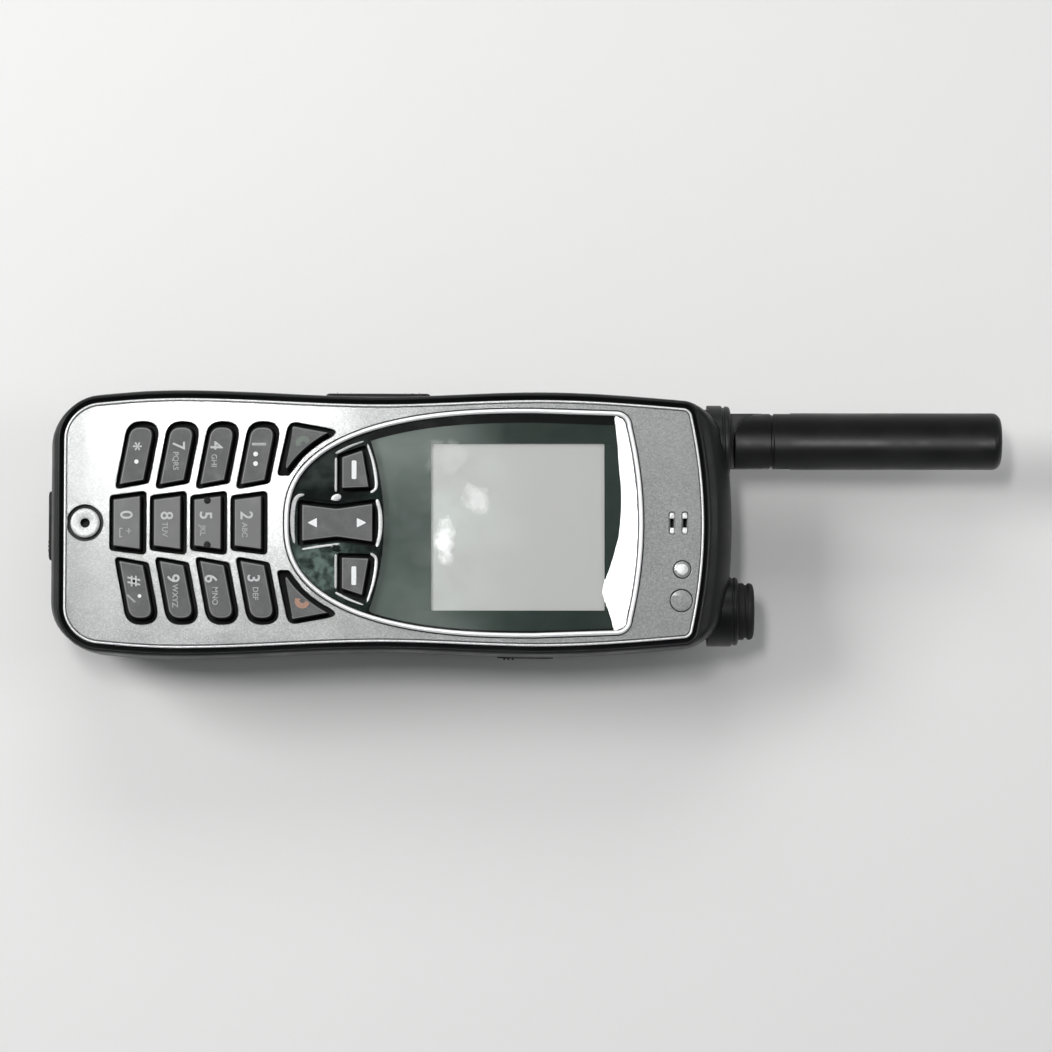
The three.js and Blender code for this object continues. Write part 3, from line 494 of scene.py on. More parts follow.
class Look:
    """A procedural material: one shader whose colour, roughness and height are built up in layers."""

    def __init__(self, name, colour, roughness, metallic=0.0, specular=0.5, coat=0.0):
        self.material = bpy.data.materials.new(name)
        self.material.use_nodes = True
        self.tree = self.material.node_tree
        self.shader = self.tree.nodes["Principled BSDF"]
        self.put(self.shader, "Metallic", metallic)
        self.put(self.shader, "Specular IOR Level", specular)
        self.put(self.shader, "Coat Weight", coat)
        self.put(self.shader, "Coat Roughness", 0.08)
        self.put(self.shader, "Base Color", (*colour, 1))
        self.put(self.shader, "Roughness", roughness)
        self.where = self.node("ShaderNodeTexCoord").outputs["Object"]
        self.colour = (*colour, 1)
        self.roughness = roughness
        self.normal = None

    def put(self, node, name, value):
        socket = node.inputs[name]
        if isinstance(value, bpy.types.NodeSocket):
            self.tree.links.new(value, socket)
        elif value is not None:
            socket.default_value = value

    def node(self, kind, settings=None, **inputs):
        made = self.tree.nodes.new(kind)
        for name, value in (settings or {}).items():
            setattr(made, name, value)
        for name, value in inputs.items():
            self.put(made, name.replace("_", " "), value)
        return made

    def vector(self, operation, a, b=None):
        made = self.node("ShaderNodeVectorMath", {"operation": operation})
        self.put(made, 0, a)
        self.put(made, 1, b)
        return made.outputs

    def spot(self, size, stretch=(1, 1, 1)):
        """Coordinates in which one unit is size millimetres."""
        return self.vector("MULTIPLY", self.where, [1 / (size * MM * s) for s in stretch])[0]

    def noise(self, size, detail=3.0, stretch=(1, 1, 1), rough=0.55):
        made = self.node("ShaderNodeTexNoise", Vector=self.spot(size, stretch), Scale=1.0, Detail=detail)
        self.put(made, "Roughness", rough)
        return made.outputs["Fac"]

    def part(self, axis, source=None):
        """One part of a direction, or of the place in the object in metres."""
        split = self.node("ShaderNodeSeparateXYZ", Vector=self.where if source is None else source)
        return split.outputs[axis]

    def facing_up(self):
        return self.part(2, self.node("ShaderNodeTexCoord").outputs["Normal"])

    def relief(self, height, depth):
        """The normal of a relief of a depth in millimetres."""
        made = self.node("ShaderNodeBump", Height=height, Distance=depth * MM, Strength=1.0)
        if self.normal is not None:
            self.put(made, "Normal", self.normal)
        return made.outputs[0]

    def cells(self, size, stretch=(1, 1, 1), output="Distance"):
        made = self.node("ShaderNodeTexVoronoi", Vector=self.spot(size, stretch), Scale=1.0)
        return made.outputs[output]

    def span(self, value, low, high, to_low=0.0, to_high=1.0):
        made = self.node("ShaderNodeMapRange", {"clamp": True})
        names = ("Value", "From Min", "From Max", "To Min", "To Max")
        for name, number in zip(names, (value, low, high, to_low, to_high)):
            self.put(made, name, number)
        return made.outputs[0]

    def math(self, operation, a, b=0.0):
        made = self.node("ShaderNodeMath", {"operation": operation})
        self.put(made, 0, a)
        self.put(made, 1, b)
        return made.outputs[0]

    def tint(self, mask, colour):
        """Turns the colour towards another where the mask is high."""
        made = self.node("ShaderNodeMix", {"data_type": "RGBA"})
        self.put(made, 0, mask)
        self.put(made, 6, self.colour)
        self.put(made, 7, (*colour, 1))
        self.colour = made.outputs[2]
        self.put(self.shader, "Base Color", self.colour)
        return self

    def gloss(self, mask, roughness):
        """Turns the roughness towards another where the mask is high."""
        made = self.node("ShaderNodeMix", {"data_type": "FLOAT"})
        self.put(made, 0, mask)
        self.put(made, 2, self.roughness)
        self.put(made, 3, roughness)
        self.roughness = made.outputs[0]
        self.put(self.shader, "Roughness", self.roughness)
        return self

    def mottle(self, size, detail, low, high, colour, share=1.0):
        """Turns the colour towards another, up to a share, in blotches of a size."""
        return self.tint(self.span(self.noise(size, detail), low, high, 0, share), colour)

    def smear(self, size, detail, low, high, roughness, share=1.0):
        """Turns the roughness towards another, up to a share, in blotches of a size."""
        return self.gloss(self.span(self.noise(size, detail), low, high, 0, share), roughness)

    def bump(self, height, depth):
        """Adds relief of a depth in millimetres."""
        self.normal = self.relief(height, depth)
        self.put(self.shader, "Normal", self.normal)
        return self

    def soften(self, radius):
        """Rounds the edges that light catches."""
        self.normal = self.node("ShaderNodeBevel", {"samples": 4}, Radius=radius * MM).outputs[0]
        self.put(self.shader, "Normal", self.normal)
        return self

    def painted_light_on_flanks(self, flat, steep, colour):
        """Paints shade on the faces that don't face the front, from a flat to a steep limit of their
        normal's z; with a pale colour it paints a highlight there instead.
        """
        mask = self.span(self.facing_up(), flat, steep)
        return self.tint(mask, colour).gloss(mask, 0.6)

    def worn_edges(self, radius, colour, roughness, strength=0.7):
        """Polishes and lightens the outer edges, unevenly."""
        bevel = self.node("ShaderNodeBevel", {"samples": 4}, Radius=radius * MM).outputs[0]
        true = self.node("ShaderNodeNewGeometry").outputs["Normal"]
        edge = self.span(self.vector("DOT_PRODUCT", bevel, true)["Value"], 0.995, 0.86)
        mask = self.math("MULTIPLY", edge, self.span(self.noise(3.0, 4), 0.35, 0.62, 0.15, strength))
        return self.tint(mask, colour).gloss(mask, roughness)


def moulded(name, colour, roughness, grain=0.32, depth=0.012, edge=(0.035, 0.035, 0.036)):
    """Fine-grained moulded plastic with handling sheen, faint dust and polished edges."""
    look = Look(name, colour, roughness, specular=0.25)
    look.soften(0.12)
    look.mottle(14, 4, 0.4, 0.7, tuple(c * 1.5 + 0.002 for c in colour))
    look.smear(9, 5, 0.42, 0.68, max(0.2, roughness - 0.14))
    look.worn_edges(0.3, edge, max(0.2, roughness - 0.18))
    look.mottle(0.35, 2, 0.74, 0.8, (0.12, 0.12, 0.115), 0.12)
    look.bump(look.cells(grain), depth)
    look.bump(look.noise(0.15, 2), depth * 0.6)
    return look.material


def silver_paint(name, colour, metallic=0.55, coat=0.0):
    """Satin metallic paint: fine flakes that catch the light one by one, smudges, hair scratches, and
    painted shade on its steep sides.
    """
    look = Look(name, colour, 0.42, metallic=metallic)
    look.put(look.shader, "Coat Roughness", look.span(look.noise(7, 4), 0.35, 0.7, 0.12, 0.2))
    look.put(look.shader, "Coat Normal", look.relief(look.noise(6, 4), 0.03))
    look.soften(0.06)
    flake = look.cells(0.24, output="Color")
    bright = look.node("ShaderNodeSeparateColor", Color=flake).outputs[0]
    look.tint(look.span(bright, 0.55, 1.0, 0, 0.5), tuple(min(1, c * 1.6) for c in colour))
    look.tint(look.span(bright, 0.42, 0.0, 0, 0.5), tuple(c * 0.6 for c in colour))
    dulled = tuple(c * share for c, share in zip(colour, (0.84, 0.88, 0.86)))
    look.mottle(30, 3, 0.45, 0.75, dulled, 0.3)
    look.smear(16, 5, 0.4, 0.7, 0.5)
    look.gloss(look.span(look.noise(4, 2, (0.12, 9, 1)), 0.7, 0.76, 0, 0.5), 0.25)
    look.bump(bright, 0.006)
    look.bump(look.noise(0.5, 3), 0.008)
    # Painted shade: the steep sides, such as the plate's cut edges and the walls of its openings, are
    # painted near black.
    look.painted_light_on_flanks(0.5, 0.2, (0.008, 0.008, 0.008))
    look.put(look.shader, "Coat Weight", look.span(look.facing_up(), 0.6, 0.9, 0, coat))
    return look.material


def chrome():
    look = Look("chrome", (0.95, 0.955, 0.955), 0.36, metallic=0.4)
    look.smear(6, 5, 0.45, 0.7, 0.28)
    look.mottle(2.2, 5, 0.6, 0.75, (0.8, 0.81, 0.81), 0.4)
    look.bump(look.noise(1.2, 3), 0.004)
    # Painted shade: the ring's steep sides are painted near black, as dark lines either side of it.
    look.painted_light_on_flanks(0.45, 0.15, (0.02, 0.021, 0.021))
    return look.material


def bright_metal(name, colour, roughness=0.28):
    look = Look(name, colour, roughness, metallic=1.0)
    look.soften(0.08)
    look.gloss(look.span(look.noise(1.0, 4, (6, 0.4, 1)), 0.4, 0.65), roughness + 0.18)
    look.mottle(2.5, 4, 0.5, 0.75, tuple(c * 0.62 for c in colour), 0.6)
    look.bump(look.noise(0.4, 3, (8, 0.5, 1)), 0.006)
    return look.material


def gloss_black():
    """Polished black-green plastic with smudges, and a painted reflection: paler grey patches towards +Y."""
    look = Look("gloss_black", (0.004, 0.0065, 0.0055), 0.06, specular=0.5)
    look.mottle(7, 4, 0.5, 0.8, (0.02, 0.042, 0.034), 0.8)
    # Painted reflection: paler grey patches from y = 7 mm upwards.
    reflection_patches = look.span(look.noise(3.5, 4), 0.4, 0.6, 0.35, 0.9)
    upper = look.span(look.part(1), 0.007, 0.009)
    look.tint(look.math("MULTIPLY", upper, reflection_patches), (0.04, 0.05, 0.046))
    look.smear(3.5, 5, 0.45, 0.7, 0.18)
    look.bump(look.noise(5, 2), 0.02)
    return look.material


def key_plastic():
    """Grey key plastic, paler on the middle column of digits, with a painted highlight round each top and
    dark sides that also paint the shade between the keys.
    """
    look = Look("key_plastic", (0.104, 0.105, 0.106), 0.52, specular=0.35)
    look.soften(0.1)
    look.mottle(5, 4, 0.4, 0.7, (0.13, 0.131, 0.131), 0.7)
    look.smear(2.5, 4, 0.45, 0.7, 0.36)
    look.mottle(0.3, 2, 0.7, 0.78, (0.3, 0.3, 0.29), 0.3)
    look.bump(look.cells(0.2), 0.006)
    look.bump(look.noise(0.8, 2), 0.008)
    look.mottle(0.6, 4, 0.35, 0.7, (0.078, 0.079, 0.08), 0.5)
    middle = look.span(look.math("ABSOLUTE", look.part(1)), 0.0075, 0.006)
    digits = look.span(look.part(0), -0.0245, -0.0255)
    look.tint(look.math("MULTIPLY", middle, digits), (0.165, 0.166, 0.166))
    # Painted highlight: a pale line on the faces just below each flat top.
    look.painted_light_on_flanks(0.999, 0.975, (0.24, 0.24, 0.238))
    # Dark sides, which also paint the shade in the gaps between the keys.
    look.painted_light_on_flanks(0.96, 0.7, (0.008, 0.008, 0.008))
    return look.material


def printed(name, colour, faded, specular=0.5):
    """Printed legends, slightly worn."""
    look = Look(name, colour, 0.45, specular=specular)
    look.mottle(0.5, 4, 0.45, 0.75, faded, 0.8)
    look.bump(look.noise(0.2, 2), 0.003)
    return look.material


# The pale spots of light on the window: x, y, half-widths along x and y, and strength.
GLINTS = ((11.3, -3.7, 2.3, 4.6, 0.85), (18.0, 5.5, 3.0, 3.6, 0.42), (12.0, 14.0, 5.0, 4.0, 0.18))


def window_glass():
    """A clear, slightly green window, faintly hazed, which mirrors the lights, with painted reflections as
    pale spots over it.
    """

    def mixed(share, first, second):
        made = look.node("ShaderNodeMixShader")
        for k, value in enumerate((share, first, second)):
            look.put(made, k, value)
        return made.outputs[0]

    look = Look("window_glass", (0.5, 0.5, 0.5), 0.03)
    tree = look.tree
    clear = look.node("ShaderNodeBsdfTransparent", Color=(0.95, 0.965, 0.955, 1))
    mirror = look.node("ShaderNodeBsdfGlossy", Color=(1, 1, 1, 1), Roughness=0.035)
    veil = look.node("ShaderNodeBsdfDiffuse", Color=(0.95, 0.97, 0.96, 1))
    outside = look.math("SUBTRACT", 1.0, look.node("ShaderNodeNewGeometry").outputs["Backfacing"])
    clouds = look.math("MULTIPLY", look.noise(9, 5, (1.6, 0.7, 1)), look.noise(24, 2))
    haze_and_glint = look.math("MULTIPLY", look.span(clouds, 0.2, 0.42, 0.004, 0.05), outside)
    haze_and_glint = look.math("MULTIPLY", haze_and_glint, look.span(look.part(0), 0.012, 0.03, 1.0, 0.1))
    facing = look.node("ShaderNodeLayerWeight", Blend=0.5).outputs["Facing"]
    frontal = look.math("MULTIPLY", look.span(facing, 0.06, 0.3, 1.0, 0.08), outside)
    # Painted reflections: each glint is white veil over a ragged oval, shown from the front only.
    for x, y, wide, tall, strength in GLINTS:
        centre = look.vector("SUBTRACT", look.where, (x * MM, y * MM, WINDOW_TOP * MM))[0]
        flat = look.vector("MULTIPLY", centre, (1 / (wide * MM), 1 / (tall * MM), 0))[0]
        reach = look.vector("LENGTH", flat)["Value"]
        ragged = look.math("ADD", reach, look.span(look.noise(2.5, 4), 0.3, 0.7, -0.35, 0.35))
        painted_glint = look.math("MULTIPLY", look.span(ragged, 1.05, 0.35, 0, strength), frontal)
        haze_and_glint = look.math("MAXIMUM", haze_and_glint, painted_glint)
    look.put(mirror, "Normal", look.relief(look.noise(16, 2, (1, 1.6, 1)), 0.05))
    fresnel = look.math("MULTIPLY", look.node("ShaderNodeFresnel", IOR=1.5).outputs[0], outside)
    veiled_with_glints = mixed(haze_and_glint, clear.outputs[0], veil.outputs[0])
    glass = mixed(fresnel, veiled_with_glints, mirror.outputs[0])
    tree.links.new(glass, tree.nodes["Material Output"].inputs["Surface"])
    tree.nodes.remove(look.shader)
    return look.material


DOT_PITCH = 0.34


def screen():
    """Pale grey liquid crystal with a faint dot grid, paler and cloudy towards its key side as a painted
    reflection.
    """
    look = Look("screen", (0.605, 0.572, 0.578), 0.36, specular=0.35)
    # Painted reflection: paler, cloudy patches towards the key side.
    reflection_reach = look.span(look.part(0), 0.008, 0.03, 0.75, 0.0)
    look.tint(look.math("MULTIPLY", reflection_reach, look.span(look.noise(10, 4), 0.35, 0.65)), (0.75, 0.775, 0.755))
    for axis in (0, 1):
        wave = look.math("SINE", look.math("MULTIPLY", look.part(axis), 2 * math.pi / (DOT_PITCH * MM)))
        look.tint(look.span(wave, 0.75, 1.0, 0, 0.22), (0.45, 0.452, 0.45))
    look.bump(look.noise(3, 3), 0.006)
    return look.material


def screen_surround():
    """The dark green-grey area round the screen, seen through the window, with a painted reflection: paler
    grey on its key side, most towards the top.
    """
    look = Look("screen_surround", (0.022, 0.042, 0.034), 0.3, specular=0.15)
    look.tint(look.span(look.noise(13, 5, (1.4, 0.8, 1)), 0.42, 0.66), (0.05, 0.075, 0.066))
    # Painted reflection: paler grey on the key side, strongest towards +Y, weaker towards -Y.
    upper = look.span(look.part(1), 0, 0.016, 0.18, 0.95)
    lower = look.span(look.part(1), 0, -0.016, 0.18, 0.5)
    reflection_near_keys = look.span(look.part(0), 0.024, 0.008)
    look.tint(look.span(look.part(0), 0.012, 0.03, 0, 0.8), (0.012, 0.022, 0.018))
    look.mottle(5, 5, 0.52, 0.75, (0.02, 0.034, 0.028), 0.6)
    look.tint(look.math("MULTIPLY", look.math("MAXIMUM", upper, lower), reflection_near_keys), (0.2, 0.225, 0.212))
    look.smear(6, 3, 0.4, 0.7, 0.5)
    look.bump(look.noise(2, 3), 0.01)
    return look.material


def circuit_board():
    look = Look("circuit_board", (0.012, 0.075, 0.035), 0.35, coat=0.4)
    grid = look.node("ShaderNodeTexBrick", Vector=look.spot(2.4), Scale=1.0)
    look.put(grid, "Mortar Size", 0.06)
    look.tint(look.span(grid.outputs["Fac"], 0.3, 0.7, 0, 0.85), (0.03, 0.14, 0.06))
    look.tint(look.span(look.cells(2.9), 0.17, 0.12, 0, 0.9), (0.6, 0.42, 0.16))
    look.smear(8, 3, 0.4, 0.7, 0.5)
    look.bump(grid.outputs["Fac"], 0.02)
    return look.material


def sound_mesh():
    """Fine black acoustic mesh."""
    look = Look("sound_mesh", (0.004, 0.004, 0.004), 0.8)
    holes = look.span(look.cells(0.25), 0.2, 0.35)
    look.tint(holes, (0.012, 0.012, 0.012))
    look.gloss(holes, 0.55)
    look.bump(holes, 0.03)
    return look.material


def pale_floor():
    look = Look("pale_floor", (0.78, 0.78, 0.77), 0.6)
    look.mottle(300, 3, 0.4, 0.7, (0.72, 0.72, 0.715), 0.3)
    look.bump(look.noise(2, 3), 0.02)
    return look.material


CASING_BLACK = moulded("casing_black", (0.0055, 0.0058, 0.006), 0.42)
RUBBER_BLACK = moulded("rubber_black", (0.011, 0.011, 0.0115), 0.68, 0.22, 0.01, (0.035, 0.035, 0.035))
ANTENNA_BLACK = moulded("antenna_black", (0.0042, 0.0042, 0.0045), 0.42, 0.2, 0.004, (0.014, 0.014, 0.014))
BATTERY_GREY = moulded("battery_grey", (0.02, 0.0205, 0.0215), 0.5, 0.4, 0.016)
LABEL_GREY = moulded("label_grey", (0.009, 0.0105, 0.01), 0.24, 0.12, 0.002)
SILVER = silver_paint("silver_paint", (0.25, 0.258, 0.254), 0.62, 1.0)
# Painted highlight: a brighter copy of the silver paint for edges that catch the light.
HIGHLIGHT_SILVER = silver_paint("bright_silver", (0.78, 0.785, 0.785))
BOSS_SILVER = silver_paint("boss_silver", (0.66, 0.665, 0.66), 0.3)
CHROME = chrome()
STEEL = bright_metal("steel", (0.62, 0.63, 0.64))
GOLD = bright_metal("gold", (0.83, 0.61, 0.27), 0.2)
FRAME_METAL = bright_metal("frame_metal", (0.5, 0.51, 0.52), 0.42)
# Painted highlight: the bezel's lips are painted near white where they catch the light.
HIGHLIGHT_LIP = silver_paint("lip_silver", (0.97, 0.975, 0.975), 0.25)
GLOSS_BLACK = gloss_black()
KEY_PLASTIC = key_plastic()
LEGEND = printed("legend", (0.5, 0.51, 0.51), (0.36, 0.37, 0.37))
FAINT_LEGEND = printed("faint_legend", (0.34, 0.345, 0.345), (0.24, 0.245, 0.245))
BRIGHT_LEGEND = printed("bright_legend", (0.8, 0.82, 0.82), (0.66, 0.68, 0.68))
# Black print, which also paints the ring's shadow on the screen's border.
BLACK_PRINT_AND_SHADOW = printed("black_print", (0.003, 0.003, 0.003), (0.006, 0.006, 0.006), 0.05)
CALL_RED = printed("call_red", (0.36, 0.19, 0.13), (0.22, 0.16, 0.135))
CALL_GREEN = printed("call_green", (0.125, 0.155, 0.13), (0.115, 0.125, 0.118))
WINDOW = window_glass()
SCREEN = screen()
SURROUND = screen_surround()
BOARD = circuit_board()
SOUND_MESH = sound_mesh()

CARRIED_OVER = {
    "housing_gasket": RUBBER_BLACK, "keypad_mat": RUBBER_BLACK, "lcd_frame": SURROUND,
    "microphone": SOUND_MESH, "earpiece_speaker": SOUND_MESH, "keypad_board": BOARD, "main_board": BOARD,
    "chassis_frame": FRAME_METAL, "shield_can": STEEL, "usb_connector": STEEL, "headset_jack": GLOSS_BLACK,
    "antenna_port": GOLD, "sim_holder": STEEL, "battery_contacts": GOLD, "antenna_sleeve": CASING_BLACK,
    "battery_cell": FRAME_METAL, "battery_terminals": GOLD,
}

# ---------- casing ----------


# The front half's crest round the plate: distance out from the plate's edge, and height.
CREST = (
    (1.45, 28.05), (1.28, 28.24), (1.08, 28.28), (0.88, 28.16), (0.7, 27.9), (0.5, 27.62), (0.22, 27.5),
)


def front_skin():
    """Rings of the front half's outside, over its rounded crest and down to the plate's seat."""
    body = casing_outline(CASING)
    plate = casing_outline(PLATE)
    rim = offset(plate, 1.6)
    rings = [at_z(casing_outline(CASING, 0.45), FRONT_SPLIT)]
    rings.append(at_z(casing_outline(CASING, 0.12), FRONT_SPLIT + 0.3))
    rings += [at_z(body, z) for z in (14.6, 16.5, 18.5, 20.0)]
    for u in np.linspace(0, 1, 19)[1:]:
        share = 1 - (1 - u ** 1.9) ** 0.62
        rings.append(at_z(body * (1 - share) + rim * share, 20 + 7.75 * u))
    rings += [at_z(offset(plate, out), z) for out, z in CREST]
    rings.append(at_z(offset(plate, 0.22), PLATE_SEAT))
    return rings


def collar_seats():
    return [
        bar(COLLAR_RADIUS + 0.15, ANTENNA_Y, ANTENNA_Z, BORE_FLOOR, 80),
        bar(POWER_COLLAR + 0.15, POWER_Y, ANTENNA_Z, BORE_FLOOR, 80),
        bar(SLEEVE_RADIUS + 0.2, ANTENNA_Y, ANTENNA_Z, 8.7, 80),
    ]


def recess(area, grow, radius):
    low_u, high_u, low_v, high_v = area
    return stadium(low_u - grow, high_u + grow, low_v - grow, high_v + grow, radius)


def front_housing():
    piece = solid("front_shell", front_skin())
    inside = [
        at_z(casing_outline(CASING, 2.2), 12.0),
        at_z(casing_outline(CASING, 2.3), 20.0),
        at_z(casing_outline(PLATE, 0.6), 25.3),
    ]
    cuts = [
        solid("cutter", inside),
        prism(stadium(-58.9, -2.3, -22.6, 22.6, 3), 24, 28),
        prism(stadium(5.2, 47.8, -20.5, 19.5, 1), 24, 28),
        prism(circle(MIC_BOSS + 0.12, MIC_X), 24, 28),
        facing(recess(VOLUME, 0.35, 1.8), 23, 30, "y"),
        facing(recess(USB, GAP, 1.8), -75, -69.8, "x"),
        facing(stadium(-4.6, 4.6, 15.0, 18.4, 0.6), -75, -66, "x"),
        facing(recess(HEADSET, GAP, 1.4), -30, -24.8, "y"),
        facing(circle(HEADSET_JACK[2], HEADSET_JACK[0], HEADSET_JACK[1]), -30, -20, "y"),
    ]
    cuts += [prism(circle(r - 0.5, x, y), 24, 28) for x, y, r in ROUND_WINDOWS]
    half = EARPIECE_WIDTH / 2
    cuts += [block(x - half, x + half, -EARPIECE_HALF, EARPIECE_HALF, 24, 28) for x in EARPIECE_X]
    combine(piece, cuts + collar_seats())
    finish(piece, CASING_BLACK, "housing", "casing_black", "front_housing")


def rear_housing():
    rings = []
    for u in np.linspace(0, 1, 22) ** 1.6:
        share = (1 - math.sqrt(u)) ** 1.35
        z = REAR_BACK + (REAR_SPLIT - REAR_BACK) * u
        ring = casing_outline(CASING, 0.12 + 5.88 * share, 0.12 + 1.5 * share, 0.12 + 4.5 * share)
        rings.append(at_z(ring, z))
    rings[-1] = at_z(casing_outline(CASING, 0.12), REAR_SPLIT - 0.3)
    rings.append(at_z(casing_outline(CASING, 0.45), REAR_SPLIT))
    piece = solid("rear_shell", rings)
    x0, x1, half, depth = LATCH_RECESS
    hollow = [
        at_z(casing_outline(CASING, 6.2, 4, 6), 2.8),
        at_z(casing_outline(CASING, 3.6, 3, 4), 6.0),
        at_z(casing_outline(CASING, 2.4, 2.4, 3), BAY_ROOF + 0.1),
    ]
    back_room = combine(solid("cutter", hollow), [block(-80, x1 + 1, -40, 40, 0, 20)])
    cuts = [
        prism(casing_outline(CASING, 2.3), BAY_ROOF, 14),
        back_room,
        prism(offset(casing_outline(BATTERY), GAP), -1, BAY_FLOOR),
        prism(stadium(x0, x1, -half, half, half * 0.98), -1, depth),
        block(42, 49, -3.4, 3.4, 2, 7),
        block(-50.3, -32.7, -9.3, 9.3, 8, 11),
        block(27.2, 33.8, -7.8, 7.8, 8, 11),
        prism(circle(PORT_COVER + GAP, PORT_X, PORT_Y), 0, PORT_RECESS),
        block(PORT_X - 1.9, PORT_X + 1.9, PORT_END - 0.45, PORT_Y, 0, PORT_RECESS),
        prism(circle(3.4, PORT_X, PORT_Y), 0, 4),
    ]
    for x, y, deck in SCREWS:
        cuts.append(prism(circle(2.25, x, y), deck - 1, deck + 0.95))
        cuts.append(prism(circle(1.25, x, y), deck, deck + 3))
    combine(piece, cuts + collar_seats())
    finish(piece, CASING_BLACK, "housing", "casing_black", "rear_housing")


def bead(name, outline, out, width, low, high):
    """A half-round bead that follows an outline, its outer foot moved out by a distance."""
    rings = [at_z(offset(outline, out - width), low), at_z(offset(outline, out), low)]
    for angle in np.linspace(0, math.pi, 25):
        shift = out - width / 2 + width / 2 * math.cos(angle)
        rings.append(at_z(offset(outline, shift), high - width / 2 + width / 2 * math.sin(angle)))
    return solid(name, rings, loop=True)


def face_plate():
    """The silver plate: a bead round its edge, painted brighter as a highlight, a fine groove, then the face
    with all its openings.
    """
    edge = casing_outline(PLATE)
    holes = [outline(0.0) for _, outline in DIGITS + CALLS]
    holes += [ring_outline(0.15), circle(MIC_OPENING, MIC_X, 0, 72)]
    holes += [circle(r, x, y) for x, y, r in ROUND_WINDOWS]
    half = EARPIECE_WIDTH / 2
    holes += [stadium(x - half, x + half, -EARPIECE_HALF, EARPIECE_HALF, 0.63) for x in EARPIECE_X]
    face = flat_plate("face_plate_silver", [offset(edge, -0.62)] + holes, PLATE_LOW + 0.2, PLATE_TOP, 0.14)
    foot = flat_plate("foot", [offset(edge, -0.05), offset(edge, -0.6)], PLATE_LOW, PLATE_LOW + 0.9, 0.05, 1)
    rim = bead("rim", edge, 0.0, 0.5, PLATE_LOW + 0.5, PLATE_TOP)
    paint(face, SILVER)
    paint(foot, SILVER)
    paint(rim, HIGHLIGHT_SILVER)
    merge(face, [foot, rim])
    place(smooth(face, 9), "housing", "plate_silver", "face_plate")


# The microphone boss, up its outside and down its hole: height, and radius.
MIC_PROFILE = (
    (26.0, MIC_BOSS), (28.3, MIC_BOSS), (28.5, 2.85), (28.6, 2.65), (28.6, 2.4), (28.52, 1.8),
    (28.42, MIC_HOLE + 0.2), (28.36, MIC_HOLE + 0.06), (28.2, MIC_HOLE), (26.0, MIC_HOLE),
)


def mic_boss():
    piece = turned("mic_boss_silver", MIC_PROFILE, MIC_X, 0, 72, x_axis=False, loop=True)
    finish(piece, BOSS_SILVER, "housing", "plate_silver", "mic_boss")


def earpiece_inserts():
    """A rim inside each earpiece slot, painted bright as a highlight."""
    inserts = []
    half = EARPIECE_WIDTH / 2 - 0.06
    for x in EARPIECE_X:
        outer = stadium(x - half, x + half, -EARPIECE_HALF + 0.06, EARPIECE_HALF - 0.06, 0.58)
        inner = stadium(x - half + 0.16, x + half - 0.16, -0.95, 0.95, 0.2)
        insert = flat_plate("earpiece_insert", [outer, inner], 27.2, 28.35, 0.16)
        inserts.append(paint(insert, HIGHLIGHT_SILVER))
    merge(inserts[0], inserts[1:])
    inserts[0].name = "earpiece_inserts"
    place(smooth(inserts[0]), "housing", "plate_silver")


def small_windows():
    """The two round windows at the antenna end. The status light has a raised centre, painted bright as a
    highlight.
    """
    for name, (x, y, radius) in zip(("status_light_window", "light_sensor_window"), ROUND_WINDOWS):
        window = flat_plate(name + "_disc", [circle(radius - 0.13, x, y)], PLATE_LOW, PLATE_TOP - 0.02, 0.16)
        paint(window, SILVER)
        if name == "status_light_window":
            profile = [(28.4, 1.2), (28.6, 1.2), (28.66, 1.12), (28.7, 0.9), (28.72, 0.3)]
            centre = turned("status_light_centre", profile, x, y, 48, x_axis=False)
            merge(window, [paint(centre, HIGHLIGHT_SILVER)])
        place(smooth(window), "housing", "plate_silver", name)


# ---------- keys ----------

ROWS = (("1", "2", "3"), ("4", "5", "6"), ("7", "8", "9"), ("star", "0", "hash"))
DIGITS = []
for row, (left, middle, right) in enumerate(ROWS):
    shift = -KEY_PITCH * row
    DIGITS.append(("key_" + left, key_outline(SIDE_KEY, shift)))
    DIGITS.append(("key_" + middle, key_outline(MIDDLE_KEY, shift)))
    DIGITS.append(("key_" + right, key_outline(SIDE_KEY, shift, True)))
CALLS = [("key_send", call_outline()), ("key_end", call_outline(True))]
SOFTS = [("key_soft_left", key_outline(SOFT_KEY)), ("key_soft_right", key_outline(SOFT_KEY, 0, True))]
NAV = ("nav_rocker", key_outline(NAV_KEY))


def legend(text, size, x, y, top, look, weight):
    """Raised print that reads towards -Y with its top towards +X."""
    curve = bpy.data.curves.new("legend", "FONT")
    curve.body = text
    curve.size = size * MM
    curve.align_x = "CENTER"
    curve.align_y = "CENTER"
    curve.extrude = 0.03 * MM
    curve.offset = weight * MM
    curve.resolution_u = 4
    mesh = curve_mesh(curve)
    lows = np.min([v.co for v in mesh.vertices], axis=0)
    highs = np.max([v.co for v in mesh.vertices], axis=0)
    mesh.transform(Matrix.Translation(-Vector((lows + highs) / 2)))
    turn = Matrix.Rotation(math.radians(-90), 4, "Z")
    mesh.transform(Matrix.Translation((x * MM, y * MM, top * MM)) @ turn)
    weld(mesh)
    return paint(linked("legend", mesh), look)


def shape_mark(points, top, look):
    """A flat printed mark over an outline."""
    return paint(solid("mark", [at_z(points, top - 0.03), at_z(points, top + 0.03)]), look)


